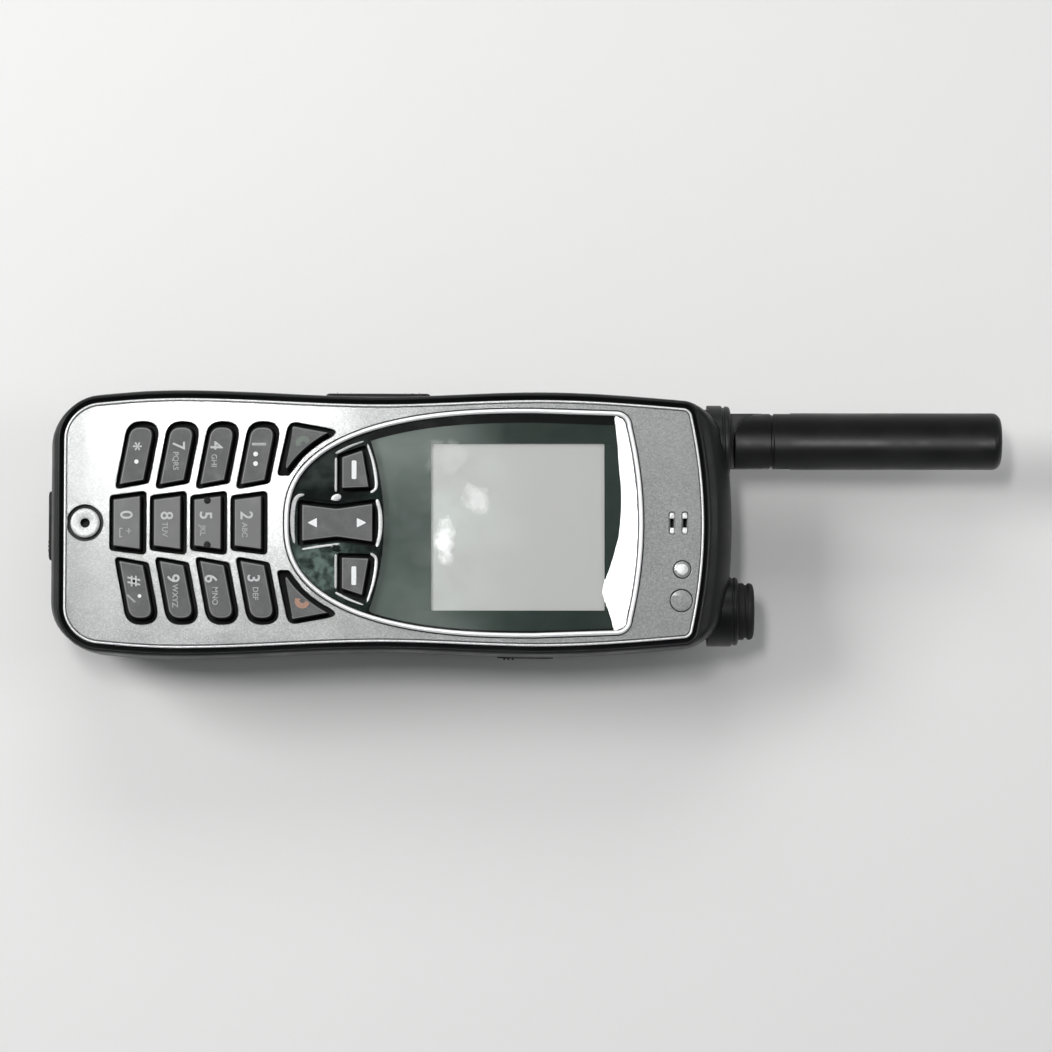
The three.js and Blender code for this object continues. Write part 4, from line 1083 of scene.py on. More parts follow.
def handset_mark(x, y, turn, top, look):
    """A plain telephone handset: a bent bar with a swelling at each end."""
    arc = np.linspace(math.radians(38), math.radians(142), 15)
    outer = np.stack([1.75 * np.cos(arc), 1.75 * np.sin(arc) - 0.8], axis=1)
    inner = np.stack([0.75 * np.cos(arc), 0.75 * np.sin(arc) - 0.95], axis=1)
    ends = np.array([(-1.6, -0.65), (-0.5, -0.95)]), np.array([(0.5, -0.95), (1.6, -0.65)])
    points = np.concatenate([outer, ends[0], inner[::-1], ends[1]])
    angle = math.radians(turn)
    spin = np.array([[math.cos(angle), math.sin(angle)], [-math.sin(angle), math.cos(angle)]])
    return shape_mark(points @ spin + [x, y], top, look)


# Each digit key's main sign and its letters, as text, x, y, on the row nearest the display.
SIGNS = {
    "key_4": (("4", -27.9, 16.1), ("GHI", -28.4, 12.95)),
    "key_7": (("7", -27.4, 16.0), ("PQRS", -28.1, 12.85)),
    "key_2": (("2", -30.0, 1.5), ("ABC", -30.4, -1.5)),
    "key_5": (("5", -30.1, 1.5), ("JKL", -30.9, -1.6)),
    "key_8": (("8", -29.8, 1.45), ("TUV", -30.2, -1.45)),
    "key_0": (("0", -29.8, 1.6), ("+", -29.3, -1.75)),
    "key_3": (("3", -28.5, -11.6), ("DEF", -28.1, -14.8)),
    "key_6": (("6", -28.95, -11.7), ("MNO", -28.1, -15.3)),
    "key_9": (("9", -28.4, -11.6), ("WXYZ", -28.0, -15.25)),
    "key_hash": (("#", -28.2, -12.2),),
    "key_star": (("*", -27.6, 15.9),),
}


# The outline of the two raised dots on the 5 key: rise over the key's top, and radius.
NUB = ((-0.05, 0.72), (0.06, 0.7), (0.14, 0.58), (0.18, 0.3), (0.19, 0.1))


def key_marks():
    top = KEY_TOP + 0.005
    marks = {name: [] for name, _ in DIGITS}
    for row, names in enumerate(ROWS):
        for name in ("key_" + text for text in names):
            for k, (text, x, y) in enumerate(SIGNS.get(name, ())):
                size = {"*": 4.0, "+": 2.2}.get(text, 3.6 if k == 0 else 1.62)
                look, weight = (LEGEND, 0.05) if k == 0 else (FAINT_LEGEND, 0.03)
                marks[name].append(legend(text, size, x - KEY_PITCH * row, y, top, look, weight))
    bar = stadium(-29.0, -25.95, 16.1, 16.62, 0.2)
    marks["key_1"] += [shape_mark(bar, top, LEGEND)]
    marks["key_1"] += [shape_mark(circle(0.5, -28.2, y, 24), top, BRIGHT_LEGEND) for y in (14.3, 12.3)]
    marks["key_star"].append(shape_mark(circle(0.45, -53.0, 12.7, 24), top, BRIGHT_LEGEND))
    space = [(-55.8, -1.1), (-56.5, -1.1), (-56.5, -3.1), (-55.8, -3.1), (-55.8, -2.85), (-56.25, -2.85)]
    space += [(-56.25, -1.35), (-55.8, -1.35)]
    marks["key_0"].append(shape_mark(np.array(space), top, FAINT_LEGEND))
    slash = np.array([(-54.9, -15.2), (-53.2, -16.75), (-52.95, -16.45), (-54.65, -14.9)])
    marks["key_hash"].append(shape_mark(slash, top, FAINT_LEGEND))
    marks["key_hash"].append(shape_mark(circle(0.38, -52.2, -15.3, 24), top, BRIGHT_LEGEND))
    for y in (4.62, -4.62):
        nub = turned("nub", [(top + rise, radius) for rise, radius in NUB], -38.2, y, 32, x_axis=False)
        marks["key_5"].append(paint(nub, RUBBER_BLACK))
    return marks


def arrow_mark(tip, base, half, top):
    points = np.array([(tip, 0.0), (base, half), (base, -half)])
    if tip > base:
        points = points[::-1]
    return shape_mark(rounded(points, [0.12] * 3, 4), top, BRIGHT_LEGEND)


def keys():
    """The key caps with their print. The digit caps lean a little towards the middle and the microphone."""
    marks = key_marks()
    marks["key_send"] = [handset_mark(-18.5, 17.1, 20, KEY_TOP, CALL_GREEN)]
    marks["key_end"] = [handset_mark(-18.6, -16.9, 160, KEY_TOP, CALL_RED)]
    for name, low_y, high_y in (("key_soft_left", 9.1, 13), ("key_soft_right", -13, -9.1)):
        marks[name] = [shape_mark(stadium(-8.2, -7.2, low_y, high_y, 0.3), SOFT_TOP, BRIGHT_LEGEND)]
    marks["nav_rocker"] = [arrow_mark(-17.4, -15.4, 1.0, NAV_TOP), arrow_mark(-5.1, -7.1, 1.0, NAV_TOP)]
    tops = {"key_soft_left": SOFT_TOP, "key_soft_right": SOFT_TOP, "nav_rocker": NAV_TOP}
    digits = dict(DIGITS)
    for name, outline in DIGITS + CALLS + SOFTS + [NAV]:
        edge = 0.5 if name in digits else 0.42
        rings = cap_rings(lambda inset: outline(KEY_GAP + inset), 26.0, tops.get(name, KEY_TOP), edge)
        if name in digits:
            side = np.sign(round(outline(KEY_GAP)[:, 1].mean()))
            lean = np.array([-0.16, -0.3 * side, 0])
            rings = rings[:1] + [ring + lean for ring in rings[1:]]
        piece = paint(solid(name + "_cap", rings), KEY_PLASTIC)
        merge(piece, marks[name])
        place(smooth(piece), name, "key_grey", name)


# ---------- display and key cluster ----------


def curve_through(points, count=24):
    """A smooth path through points of (x, y, width): Catmull-Rom pieces."""
    knots = np.array(points, float)
    knots = np.concatenate([2 * knots[:1] - knots[1:2], knots, 2 * knots[-1:] - knots[-2:-1]])
    drawn = []
    for i in range(1, len(knots) - 2):
        a, b, c, d = knots[i - 1:i + 3]
        for t in np.linspace(0, 1, count // (len(points) - 1) + 2, endpoint=False):
            drawn.append(0.5 * (2 * b + (c - a) * t + (2 * a - 5 * b + 4 * c - d) * t * t
                                + (3 * b - a - 3 * c + d) * t ** 3))
    drawn.append(knots[-2])
    return np.array(drawn)


def display_ring():
    outline = ring_outline()
    rings = [at_z(offset(outline, -0.98), PLATE_LOW), at_z(outline, PLATE_LOW)]
    profile = (
        (0.0, 28.75), (-0.03, 28.95), (-0.12, 29.12), (-0.26, 29.24), (-0.44, 29.3),
        (-0.6, 29.28), (-0.74, 29.2), (-0.86, 29.06), (-0.95, 28.86), (-0.98, 28.6),
    )
    rings += [at_z(offset(outline, out), z) for out, z in profile]
    piece = solid("display_ring_chrome", rings, loop=True)
    finish(piece, CHROME, "housing", "ring_chrome", "display_ring")


def inside_ring():
    return ring_outline(-1.15)


# Where the window's top starts to fall, and how steeply.
FALL_EDGE = (
    (45.9, -22.0), (44.9, -19.0), (43.6, -15.6), (43.4, -13.4), (45.0, -9.0),
    (47.1, -2.0), (47.4, 6.0), (46.9, 13.0), (46.2, 22.0),
)
FALL_SLOPE = 0.075


def display_window():
    """The window: its top falls away towards the antenna end, where it mirrors a lamp."""
    outline = inside_ring()
    count = 72
    half = outline[:, 1].max() - 0.02
    right = outline[outline[:, 0] >= RING["broadest"]]
    left = outline[outline[:, 0] <= RING["broadest"]]
    ys = half * np.sin(np.linspace(-math.pi / 2, math.pi / 2, count))
    order = np.argsort(right[:, 1])
    x_right = np.interp(ys, right[order, 1], right[order, 0])
    order = np.argsort(left[:, 1])
    x_left = np.interp(ys, left[order, 1], left[order, 0])
    centre = STEP_X - STEP_RADIUS
    x_step = centre + np.sqrt(STEP_RADIUS ** 2 - ys ** 2)
    x_left = np.maximum(x_left, x_step)
    share = np.linspace(0, 1, count)
    grid_x = x_left[:, None] + (x_right - x_left)[:, None] * share[None, :]
    grid_y = np.repeat(ys[:, None], count, axis=1)
    edge = curve_through([(x, y, 0) for x, y in FALL_EDGE], 96)
    past = grid_x - np.interp(grid_y, edge[:, 1], edge[:, 0])
    fall = FALL_SLOPE * np.where(past > 0.6, past, np.clip(past + 0.6, 0, None) ** 2 / 2.4)
    top = np.stack([grid_x, grid_y, WINDOW_TOP - fall], axis=2).reshape(-1, 3)
    low = top * [1, 1, 0] + [0, 0, 27.2]
    faces = []
    for i in range(count - 1):
        for j in range(count - 1):
            a = i * count + j
            faces.append((a, a + 1, a + count + 1, a + count))
            b = a + count * count
            faces.append((b, b + count, b + count + 1, b + 1))
    border = list(range(count)) + [i * count + count - 1 for i in range(1, count)]
    border += [(count - 1) * count + j for j in range(count - 2, -1, -1)]
    border += [i * count for i in range(count - 2, 0, -1)]
    for a, b in zip(border, border[1:] + border[:1]):
        faces.append((b, a, a + count * count, b + count * count))
    piece = mesh_object("display_window_clear", np.concatenate([top, low]), faces)
    weld(piece.data)
    place(smooth(paint(piece, WINDOW), 50), "housing", "window_clear", "display_window")


# A lip's cross-section: share of its width to the left, and height.
LIP_PROFILE = (
    (0.5, 28.2), (0.5, 28.42), (0.2, 28.56), (-0.2, 28.64), (-0.38, 28.62), (-0.5, 28.5), (-0.5, 28.2),
)


def lip(points, mirror=False, look=None):
    """A low raised lip along a path, its slope facing the left of the path and its ends rounded."""
    path = curve_through(points)
    if mirror:
        path = path[::-1] * [1, -1, 1]
    way = np.gradient(path[:, :2], axis=0)
    way /= np.linalg.norm(way, axis=1)[:, None]
    left = np.stack([-way[:, 1], way[:, 0]], axis=1)
    length = np.concatenate([[0], np.cumsum(np.linalg.norm(np.diff(path[:, :2], axis=0), axis=1))])
    end = np.minimum(length, length[-1] - length) / 0.45
    width = path[:, 2] * np.sqrt(np.clip(1 - (1 - np.clip(end, 0, 1)) ** 2, 0.05, 1))
    rings = []
    for centre, side, w in zip(path[:, :2], left, width):
        rings.append([(*(centre + side * (across * w)), z) for across, z in reversed(LIP_PROFILE)])
    return paint(solid("lip", rings), look or HIGHLIGHT_LIP)


LIPS = (
    [(-11.5, 13.7, 0.55), (-11.5, 10.0, 0.55), (-11.5, 6.5, 0.55)],
    [(-5.7, 17.1, 0.35), (-8.6, 16.0, 0.55), (-11.6, 14.5, 0.6)],
    [(-4.3, 6.3, 0.55), (-3.25, 7.2, 0.65), (-3.15, 9.0, 0.7), (-3.75, 12.6, 0.65), (-4.95, 16.5, 0.5)],
)
LEVEL_LIP = [(-10.7, 4.35, 0.5), (-14.6, 4.85, 0.6), (-18.6, 5.5, 0.45)]
NAV_LIPS = (
    [(-2.95, -5.0, 0.7), (-2.4, -2.6, 0.85), (-2.25, 0.0, 0.9), (-2.4, 2.6, 0.85), (-2.95, 5.0, 0.7)],
    [(-18.1, 5.9, 0.5), (-19.3, 5.6, 0.8), (-20.15, 4.3, 0.95), (-20.5, 2.0, 1.0), (-20.55, 0.0, 1.0),
     (-20.45, -2.2, 0.8), (-20.1, -4.3, 0.5)],
)
# The corner swellings beside the soft keys: share of their full outline, and height.
SWELLING = ((1.0, 28.3), (1.0, 28.5), (0.86, 28.62), (0.55, 28.7), (0.2, 28.72))


def nav_bezel():
    """The glossy bezel, with raised lips beside its openings, painted near white as a painted highlight; the
    lips that stay dark are painted gloss black as painted shade.
    """
    side = circle(STEP_RADIUS - 0.1, STEP_X - STEP_RADIUS, 0, 720)
    piece = prism(inside_ring(), 27.2, PLATE_TOP - 0.15)
    combine(piece, [prism(side, 26, 30)], "INTERSECT")
    openings = [outline_of(0.0) for _, outline_of in SOFTS + [NAV]]
    combine(piece, [prism(points, 26, 30) for points in openings])
    piece.name = "nav_bezel_gloss"
    paint(piece, GLOSS_BLACK)
    lips = [lip(points, mirror) for points in LIPS for mirror in (False, True)]
    lips += [lip(points) for points in NAV_LIPS]
    # The level lip beside the nav key: painted highlight on the -Y side, painted shade in gloss black on the
    # +Y side.
    lips += [lip(LEVEL_LIP, True), lip(LEVEL_LIP, False, GLOSS_BLACK)]
    for y in (5.25, -5.25):
        angle = np.linspace(0, 2 * math.pi, 32, endpoint=False)
        oval = np.stack([1.1 * np.cos(angle), 0.75 * np.sin(angle)], axis=1)
        spin = math.radians(24 if y > 0 else -24)
        oval = oval @ np.array([[math.cos(spin), math.sin(spin)], [-math.sin(spin), math.cos(spin)]])
        rings = [at_z(oval * share + [-11.45, y], z) for share, z in SWELLING]
        # The swelling on +Y is painted as a highlight, the one on -Y black as painted shade.
        lips.append(paint(solid("corner", rings), HIGHLIGHT_LIP if y > 0 else GLOSS_BLACK))
    merge(piece, lips)
    place(smooth(piece), "housing", "bezel_gloss", "nav_bezel")


def lens_print():
    """The dark print round the screen. Its black border is print, broadened on the antenna's side into a
    painted shadow of the ring.
    """
    outline = inside_ring()
    step = np.sqrt(np.clip(STEP_RADIUS ** 2 - outline[:, 1] ** 2, 0, None)) + STEP_X - STEP_RADIUS
    shown = outline[outline[:, 0] > step + 0.2]
    top = shown[shown[:, 1] > 0][:, 1]
    reach = top[np.argmin(shown[shown[:, 1] > 0][:, 0])]
    ys = np.linspace(reach, -reach, 40)
    arc = np.stack([STEP_X - STEP_RADIUS + np.sqrt(STEP_RADIUS ** 2 - ys ** 2) + 0.1, ys], axis=1)
    start = np.argmin(np.linalg.norm(shown - arc[-1], axis=1))
    area = np.concatenate([np.roll(shown, -start, axis=0), arc[1:-1]])
    opening = stadium(LCD[0], LCD[1], LCD[2], LCD[3], 0.3)
    piece = flat_plate("lens_print", [area, opening], 27.03, 27.12, 0.01, 1)
    paint(piece, SURROUND)
    inner = offset(outline, -0.3)
    # Painted shadow: the border grows up to 1.35 mm broader towards +Y, where the ring's shadow falls.
    inner[:, 1] -= 1.35 * np.clip(inner[:, 1] / 18, 0, 1)
    border = flat_plate("border", [outline, inner], 27.13, 27.17, 0.01, 1)
    combine(border, [prism(circle(STEP_RADIUS, STEP_X - STEP_RADIUS, 0, 720), 26, 30)])
    merge(piece, [paint(border, BLACK_PRINT_AND_SHADOW)])
    place(smooth(piece), "housing", "bezel_gloss")


def lcd_panel():
    x0, y0, z0 = np.array(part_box("lcd_panel")[0]) / MM
    x1, y1, z1 = np.array(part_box("lcd_panel")[1]) / MM
    outline = stadium(x0 + 0.05, x1 - 0.05, y0 + 0.05, y1 - 0.05, 0.4)
    piece = flat_plate("lcd_panel_screen", [outline], z0, z1, 0.08)
    finish(piece, SCREEN, "housing", "screen_grey", "lcd_panel")


# ---------- antenna, power button ----------


def antenna_base():
    base = []
    for a in np.linspace(1.57, 0, 5):
        base.append((BASE_FROM + 0.5 * (1 - math.sin(a)), BASE_RADIUS - 0.5 * (1 - math.cos(a))))
    base += [(BASE_TO - 0.3, BASE_RADIUS), (BASE_TO, BASE_RADIUS - 0.3)]
    piece = turned("antenna_slider", base, ANTENNA_Y, ANTENNA_Z)
    low_y, high_y = ANTENNA_Y - TONGUE_RADIUS, ANTENNA_Y + TONGUE_RADIUS
    low_z, high_z = ANTENNA_Z - TONGUE_HALF, ANTENNA_Z + TONGUE_HALF
    end = stadium(BASE_TO - 1, PIVOT_X + TONGUE_RADIUS, low_y, high_y, TONGUE_RADIUS * 0.999)
    root = block(BASE_TO - 1, PIVOT_X, low_y, high_y, low_z, high_z)
    combine(piece, [prism(end, low_z, high_z), root], "UNION")
    combine(piece, [prism(circle(PIN + 0.1, PIVOT_X, ANTENNA_Y), ANTENNA_Z - 10, ANTENNA_Z + 10)])
    finish(piece, ANTENNA_BLACK, "antenna_slider", "antenna_black", "antenna_base")


def antenna_mast():
    r = MAST_RADIUS
    low = PIVOT_X - EAR_RADIUS
    profile = [(low, r - 0.35), (low + 0.1, r - 0.1), (low + 0.35, r)]
    seam = ((-0.42, 0.0), (-0.3, 0.1), (-0.22, 0.34), (0.22, 0.34), (0.3, 0.1), (0.42, 0.0))
    profile += [(MAST_SEAM + along, r - depth) for along, depth in seam]
    profile += [(x, r) for x in np.linspace(MAST_SEAM + 4, MAST_TIP - 4, 12)]
    for a in np.linspace(0, math.pi / 2, 9):
        profile.append((MAST_TIP - 1.8 * (1 - math.sin(a)), r - 1.8 * (1 - math.cos(a))))
    profile.append((MAST_TIP, r - 3.2))
    piece = turned("antenna_mast_rod", profile, ANTENNA_Y, ANTENNA_Z, 128)
    span = 10
    corners = block(PIVOT_X - span, PIVOT_X, ANTENNA_Y, ANTENNA_Y + span, 0, 40)
    combine(corners, [prism(circle(EAR_RADIUS, PIVOT_X, ANTENNA_Y, 96), -1, 41)])
    slot = block(PIVOT_X - span, PIVOT_X + SLOT_DEPTH, ANTENNA_Y - span, ANTENNA_Y + span,
                 ANTENNA_Z - EAR_SLOT, ANTENNA_Z + EAR_SLOT)
    pin_hole = prism(circle(PIN + 0.1, PIVOT_X, ANTENNA_Y), ANTENNA_Z - 4.9, ANTENNA_Z + 4.9)
    combine(piece, [corners, slot, pin_hole])
    finish(piece, ANTENNA_BLACK, "antenna_mast", "antenna_black", "antenna_mast")


def antenna_pin():
    ends = ((-4.7, PIN - 0.2), (-4.5, PIN), (4.5, PIN), (4.7, PIN - 0.2))
    profile = [(ANTENNA_Z + up, radius) for up, radius in ends]
    piece = turned("antenna_pin", profile, PIVOT_X, ANTENNA_Y, 32, x_axis=False)
    finish(piece, STEEL, "antenna_slider", "steel_parts", "antenna_pivot_pin")


# Turned profiles along X: distance along, and depth in from the fitting's radius.
COLLAR_PROFILE = (
    (COLLAR_FROM, 0), (69.2, 0), (69.5, 0.12), (69.6, 0.4), (69.9, 0.45), (70.1, 0.2),
    (70.4, 0.15), (70.9, 0.25), (71.15, 0.5), (COLLAR_TO, 0.9),
)
POWER_COLLAR_PROFILE = (
    (BORE_FLOOR + 0.2, 0), (71.2, 0), (71.4, 0.1), (71.5, 0.35), (71.8, 0.4), (72.0, 0.2),
    (72.4, 0.2), (72.65, 0.35), (POWER_COLLAR_TO, 0.65),
)
POWER_PROFILE = (
    (POWER_FROM, 0.3), (POWER_FROM + 0.3, 0), (73.9, 0), (74.1, 0.1), (74.25, 0.4),
    (74.7, 0.4), (74.85, 0.12), (75.1, 0), (75.4, 0.02), (75.75, 0.15), (76.0, 0.45),
    (76.15, 0.95), (POWER_TO, 1.6), (POWER_TO - 0.25, 2.4), (POWER_TO - 0.35, 3.6),
    (POWER_TO - 0.38, POWER_RADIUS - 0.4),
)


def fitting(name, profile, radius, y):
    return turned(name, [(x, radius - depth) for x, depth in profile], y, ANTENNA_Z)


def collar(name, profile, radius, bore, low, y):
    """A turned collar with a bore through it."""
    piece = fitting(name, profile, radius, y)
    combine(piece, [bar(bore, y, ANTENNA_Z, low - 5, 90)])
    return smooth(paint(piece, CASING_BLACK))


def end_fittings():
    ring = collar("antenna_collar_ring", COLLAR_PROFILE, COLLAR_RADIUS, SLEEVE_BORE, COLLAR_FROM, ANTENNA_Y)
    place(ring, "housing", "casing_black", "antenna_collar")
    ring = collar("power_collar_ring", POWER_COLLAR_PROFILE, POWER_COLLAR, POWER_BORE, BORE_FLOOR, POWER_Y)
    place(ring, "housing", "casing_black", "power_collar")
    button = fitting("power_button_cap", POWER_PROFILE, POWER_RADIUS, POWER_Y)
    finish(button, RUBBER_BLACK, "power_button", "rubber_black", "power_button")


# ---------- side key and covers ----------


def draped(name, area, radius, foot, rise, edge, surface):
    """A rounded pad over an area of a surface, which takes u, v and height to a point."""
    low_u, high_u, low_v, high_v = area
    outline = key_outline(square(low_u, high_u, low_v, high_v, radius))
    rings = [(outline(0.0), foot), (outline(0.0), rise - edge)]
    rings += [(outline(inset), rise - drop) for inset, drop in rounding(edge)]
    last = rings[-1][0]
    centre = np.array([(low_u + high_u) / 2, (low_v + high_v) / 2])
    for share in (0.8, 0.6, 0.4, 0.2, 0.05):
        rings.append(((last - centre) * share + centre, rise))
    points = [surface(ring[:, 0], ring[:, 1], height) for ring, height in rings]
    piece = solid(name, points)
    weld(piece.data)
    return piece


def ribbed(pad, node, ribs, surface):
    """Finishes a rubber pad with raised ribs: areas, corner radius, and pairs of growth and height."""
    drawn = []
    for area, radius, steps in ribs:
        outline = stadium(*area, radius)
        rings = []
        for grow, height in steps:
            ring = offset(outline, grow) if grow else outline
            rings.append(surface(ring[:, 0], ring[:, 1], height))
        drawn.append(paint(solid("rib", rings), RUBBER_BLACK))
    paint(pad, RUBBER_BLACK)
    merge(pad, drawn)
    weld(pad.data)
    place(smooth(pad), node, "rubber_black", node)


def volume_rocker():
    def surface(u, v, height):
        return np.column_stack([u, side_y(u) + height, v])

    pad = draped("volume_rocker_pad", VOLUME, 1.9, -2.0, 0.9, 0.55, surface)
    bevelled = ((0, 0.6), (0, 1.05), (-0.12, 1.12))
    ribs = [((x - 1.4, x + 1.4, 17.1, 17.7), 0.28, bevelled) for x in (-10.2, 4.2)]
    ribs.append(((4.2 - 0.3, 4.2 + 0.3, 16.0, 18.8), 0.28, ((0, 0.6), (0, 1.1))))
    ribbed(pad, "volume_rocker", ribs, surface)


def usb_cover():
    def bottom(u, v, height):
        return np.column_stack([np.full(len(u), CASING["bottom"] - height), u, v])

    pad = draped("usb_cover_flap", USB, 1.8, -1.5, 0.8, 0.4, bottom)
    steps = ((0, 0.4), (0, 1.0))
    ribs = [((y - 0.22, y + 0.22, 15.9, 18.3), 0.2, steps) for y in (-5.2, -4.3, -3.4)]
    ribbed(pad, "usb_cover", ribs, bottom)


def headset_cover():
    def flank(u, v, height):
        return np.column_stack([u, -side_y(u) - height, v])

    pad = draped("headset_cover_flap", HEADSET, 2.0, -2.2, 0.2, 0.2, flank)
    steps = ((0, 0.0), (0, 0.5))
    ribs = [((x - 0.22, x + 0.22, 14.9, 17.1), 0.2, steps) for x in (23.6, 24.5, 25.4)]
    ribbed(pad, "headset_cover", ribs, flank)


def antenna_port_cover():
    disc = circle(PORT_COVER, PORT_X, PORT_Y, 96)
    low = REAR_BACK + 0.05
    port = solid("antenna_port_cover_disc", [
        at_z(offset(disc, -0.25), low), at_z(disc, low + 0.25), at_z(disc, PORT_RECESS - 0.15),
    ])
    strap = block(PORT_X - PORT_STRAP, PORT_X + PORT_STRAP, PORT_END, PORT_Y, low + 0.1, PORT_RECESS - 0.15)
    profile = [(low - 0.3, 3.4), (low + 0.22, 3.2), (low + 0.3, 2.6)]
    dish = turned("cutter", profile, PORT_X, PORT_Y, 64, x_axis=False)
    combine(port, [strap], "UNION")
    combine(port, [dish])
    finish(port, RUBBER_BLACK, "antenna_port_cover", "rubber_black", "antenna_port_cover")


# ---------- battery ----------


def battery_shell():
    rings = []
    for k in range(7):
        angle = math.pi / 2 * k / 6
        rings.append(at_z(casing_outline(BATTERY, 0.9 * (1 - math.sin(angle))), 0.9 * (1 - math.cos(angle))))
    rings.append(at_z(casing_outline(BATTERY), 8.2))
    rings.append(at_z(casing_outline(BATTERY, 0.25), 8.5))
    shell = solid("battery_shell_case", rings)
    x0, x1, half, depth = LATCH_RECESS
    cuts = [
        combine(prism(casing_outline(BATTERY, 1.5), 1.5, 10), [block(26.6, 60, -40, 40, 0, 20)]),
        block(27.2, 33.8, -7.8, 7.8, 6.6, 10),
        prism(stadium(x0, x1, -half, half, half * 0.98), -1, depth),
        prism(recess(LABEL, 0.2, 0.8), -1, 0.14),
    ]
    for k in range(5):
        cuts.append(prism(stadium(26.4 + 1.5 * k, 27.0 + 1.5 * k, -12.5 + k, 12.5 - k, 0.28), -1, 0.35))
    combine(shell, cuts)
    finish(shell, BATTERY_GREY, "battery", "battery_grey", "battery_shell")


def battery_label():
    """The dark label, with two pale half discs and a double arrow between them."""
    label = paint(flat_plate("battery_label", [recess(LABEL, 0, 0.7)], 0.08, 0.3, 0.04, 1), LABEL_GREY)
    angle = np.linspace(0, math.pi, 33)
    half_disc = np.stack([-21 + 6.2 * np.cos(angle), -16.2 + 6.2 * np.sin(angle)], axis=1)
    shaft = [(-21.3, -5.0), (-20.7, -5.0), (-20.7, 5.0), (-21.3, 5.0)]
    head = [(-22.3, 5.0), (-19.7, 5.0), (-21.0, 7.2)]
    mirrored = [np.array(shape)[::-1] * [1, -1] for shape in (half_disc, head)]
    marks = [half_disc, mirrored[0], np.array(shaft), np.array(head), mirrored[1]]
    drawn = [solid("mark", [at_z(points, 0.06), at_z(points, 0.12)]) for points in marks]
    merge(label, [paint(mark, BRIGHT_LEGEND) for mark in drawn])
    place(smooth(label), "battery", "battery_grey")


def battery_latch():
    x0, x1, half, z0, z1 = LATCH
    outline = key_outline(square(x0, x1, -half, half, half * 0.98))
    rings = []
    for a in np.linspace(0, 1.57, 6):
        rings.append(at_z(outline(0.5 * (1 - math.sin(a))), z0 + 0.5 * (1 - math.cos(a))))
    rings.append(at_z(outline(0.0), z1))
    latch = solid("battery_latch_slide", rings)
    tongue = block(45, 48, -3, 3, z1 - 0.5, 5.5)
    combine(latch, [tongue], "UNION")
    grooves = [stadium(39 + 1.7 * k, 39.7 + 1.7 * k, -3.6, 3.6, 0.33) for k in range(6)]
    combine(latch, [prism(groove, z0 - 1, z0 + 0.45) for groove in grooves])
    finish(latch, CASING_BLACK, "battery_latch", "casing_black", "battery_latch")


# A screw: height over its head's face, and radius.
SCREW = ((0, 1.5), (0.06, 1.85), (0.2, 2.0), (0.7, 2.0), (0.72, 1.0), (7, 1.0))


def screws():
    for i, (x, y, deck) in enumerate(SCREWS):
        low = deck + 0.05
        profile = [(low + up, radius) for up, radius in SCREW]
        piece = turned(f"case_screw_{i + 1}_head", profile, x, y, 48, x_axis=False)
        angle = np.linspace(0, 2 * math.pi, 48, endpoint=False)
        star = (0.92 + 0.16 * np.cos(6 * angle))[:, None] * np.stack([np.cos(angle), np.sin(angle)], axis=1)
        combine(piece, [prism(star + [x, y], low - 1, low + 0.5)])
        finish(piece, STEEL, "housing", "steel_parts", f"case_screw_{i + 1}")


# ---------- the assembly ----------

front_housing()
rear_housing()
face_plate()
mic_boss()
earpiece_inserts()
small_windows()
keys()
display_ring()
display_window()
nav_bezel()
lens_print()
lcd_panel()
antenna_base()
antenna_mast()
antenna_pin()
end_fittings()
volume_rocker()
usb_cover()
headset_cover()
antenna_port_cover()
battery_shell()
battery_label()
battery_latch()
screws()
for node, look in CARRIED_OVER.items():
    paint_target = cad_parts[node]
    paint_target.data.materials.clear()
    paint_target.data.materials.append(look)

# ---------- floor, light and camera ----------


def floor():
    size = 1.6
    mesh = bpy.data.meshes.new("floor")
    corners = ((-size, -size), (size, -size), (size, size), (-size, size))
    mesh.from_pydata([(x, y, -0.0001) for x, y in corners], [], [(0, 1, 2, 3)])
    paint(linked("floor", mesh), pale_floor())


def aimed(thing, place_mm, aim_mm):
    """Places a camera or lamp, and turns it to a point with its own X axis along the frame's."""
    thing.location = Vector(place_mm) * MM
    backward = (thing.location - Vector(aim_mm) * MM).normalized()
    across = Vector((0, 1, 0)).cross(backward).normalized()
    thing.rotation_euler = Matrix((across, backward.cross(across), backward)).transposed().to_euler()
    bpy.context.scene.collection.objects.link(thing)
    return thing


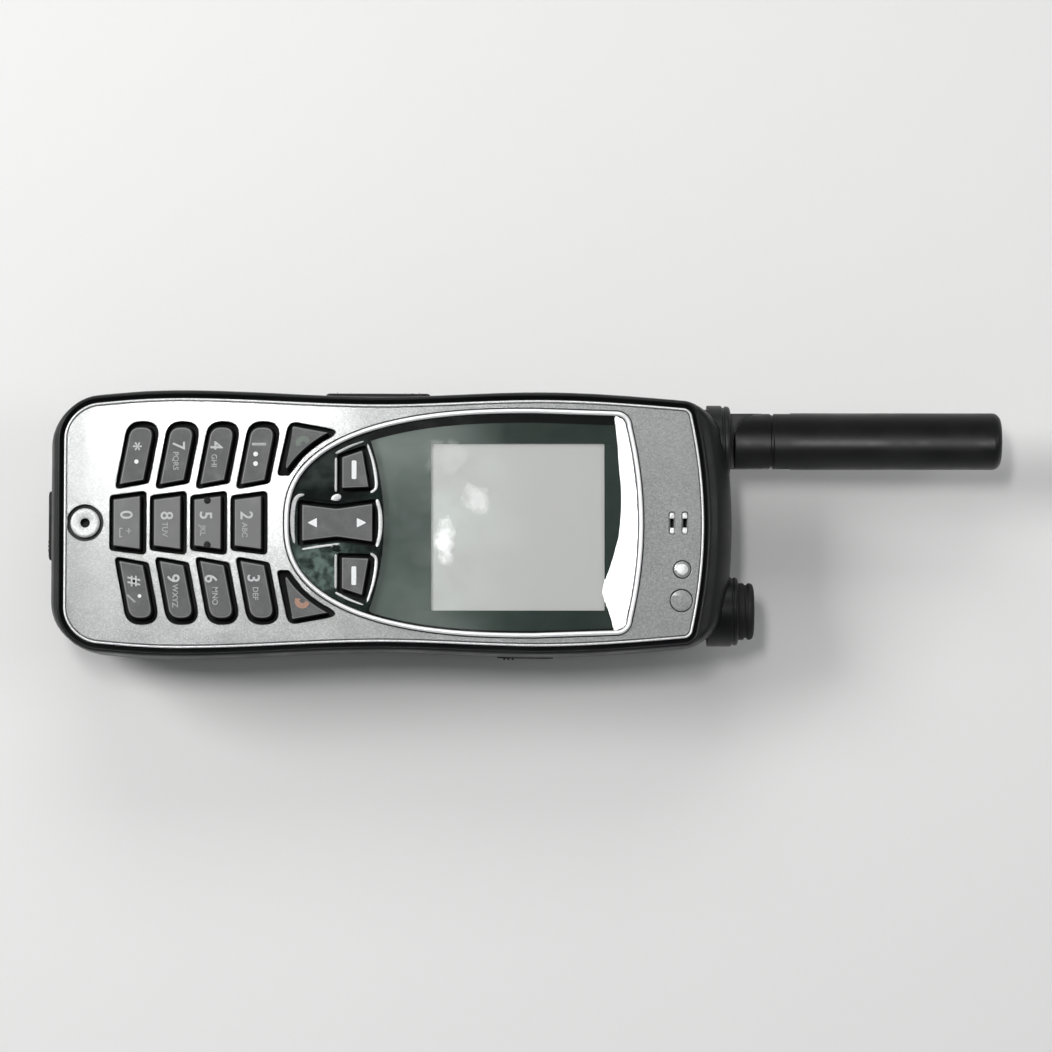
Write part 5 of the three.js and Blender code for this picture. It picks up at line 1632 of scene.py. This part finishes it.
def softbox(name, place_mm, aim_mm, size_mm, power, only=(), besides=()):
    """A rectangular lamp. It may light only some pieces, or every piece besides some."""
    lamp = bpy.data.lights.new(name, "AREA")
    lamp.shape = "RECTANGLE"
    lamp.size = size_mm[0] * MM
    lamp.size_y = size_mm[1] * MM
    lamp.energy = power
    made = aimed(bpy.data.objects.new(name, lamp), place_mm, aim_mm)
    if only or besides:
        receivers = bpy.data.collections.new(name + "_receivers")
        for piece in only or besides:
            receivers.objects.link(bpy.data.objects[piece])
        for entry in receivers.collection_objects:
            entry.light_linking.link_state = "INCLUDE" if only else "EXCLUDE"
        made.light_linking.receiver_collection = receivers


floor()
world = bpy.data.worlds.new("studio")
bpy.context.scene.world = world
world.use_nodes = True
sky = world.node_tree.nodes["Background"]
sky.inputs["Color"].default_value = (0.96, 0.98, 1.0, 1)
way_up = world.node_tree.nodes.new("ShaderNodeSeparateXYZ")
upward = world.node_tree.nodes.new("ShaderNodeTexCoord").outputs["Generated"]
world.node_tree.links.new(upward, way_up.inputs[0])
glow = world.node_tree.nodes.new("ShaderNodeMapRange")
world.node_tree.links.new(way_up.outputs[2], glow.inputs["Value"])
for name, number in (("From Min", 0.15), ("From Max", 0.75), ("To Min", 0.42), ("To Max", 0.12)):
    glow.inputs[name].default_value = number
world.node_tree.links.new(glow.outputs[0], sky.inputs["Strength"])
softbox("plate_lamp", (-105, 150, 1000), (0, 0, 0), (90, 190), 2.6, besides=["nav_bezel_gloss"])
softbox("bezel_lamp", (-59, 39, 1000), (-14, -8, 0), (20, 22), 0.008, ["nav_bezel_gloss"])
bpy.data.lights["bezel_lamp"].color = (0.72, 1.0, 0.9)
softbox("left_lamp", (-900, 350, 800), (0, 0, 0), (500, 500), 10, besides=["display_window_clear"])
softbox("right_lamp", (950, 100, 800), (0, 0, 0), (400, 500), 2)
softbox("back_lamp", (0, 1000, 700), (0, 0, 0), (900, 400), 4,
        besides=["antenna_mast_rod", "antenna_slider", "display_window_clear"])
softbox("window_lamp", (255, 40, 1000), (40, 0, 0), (120, 520), 8, ["display_window_clear"])
softbox("antenna_lamp", (190, -160, 1000), (100, 18, 0), (230, 260), 4,
        ["antenna_mast_rod", "antenna_slider", "antenna_collar_ring"])

CAMERA_AT, CAMERA_AIM = (22.5, -50.7, 880), (28.2, 0, 18)
camera = aimed(bpy.data.objects.new("camera", bpy.data.cameras.new("camera")), CAMERA_AT, CAMERA_AIM)
camera.data.lens = 140
camera.data.clip_start = 0.01
bpy.context.scene.camera = camera
bpy.context.scene.view_settings.view_transform = "Standard"
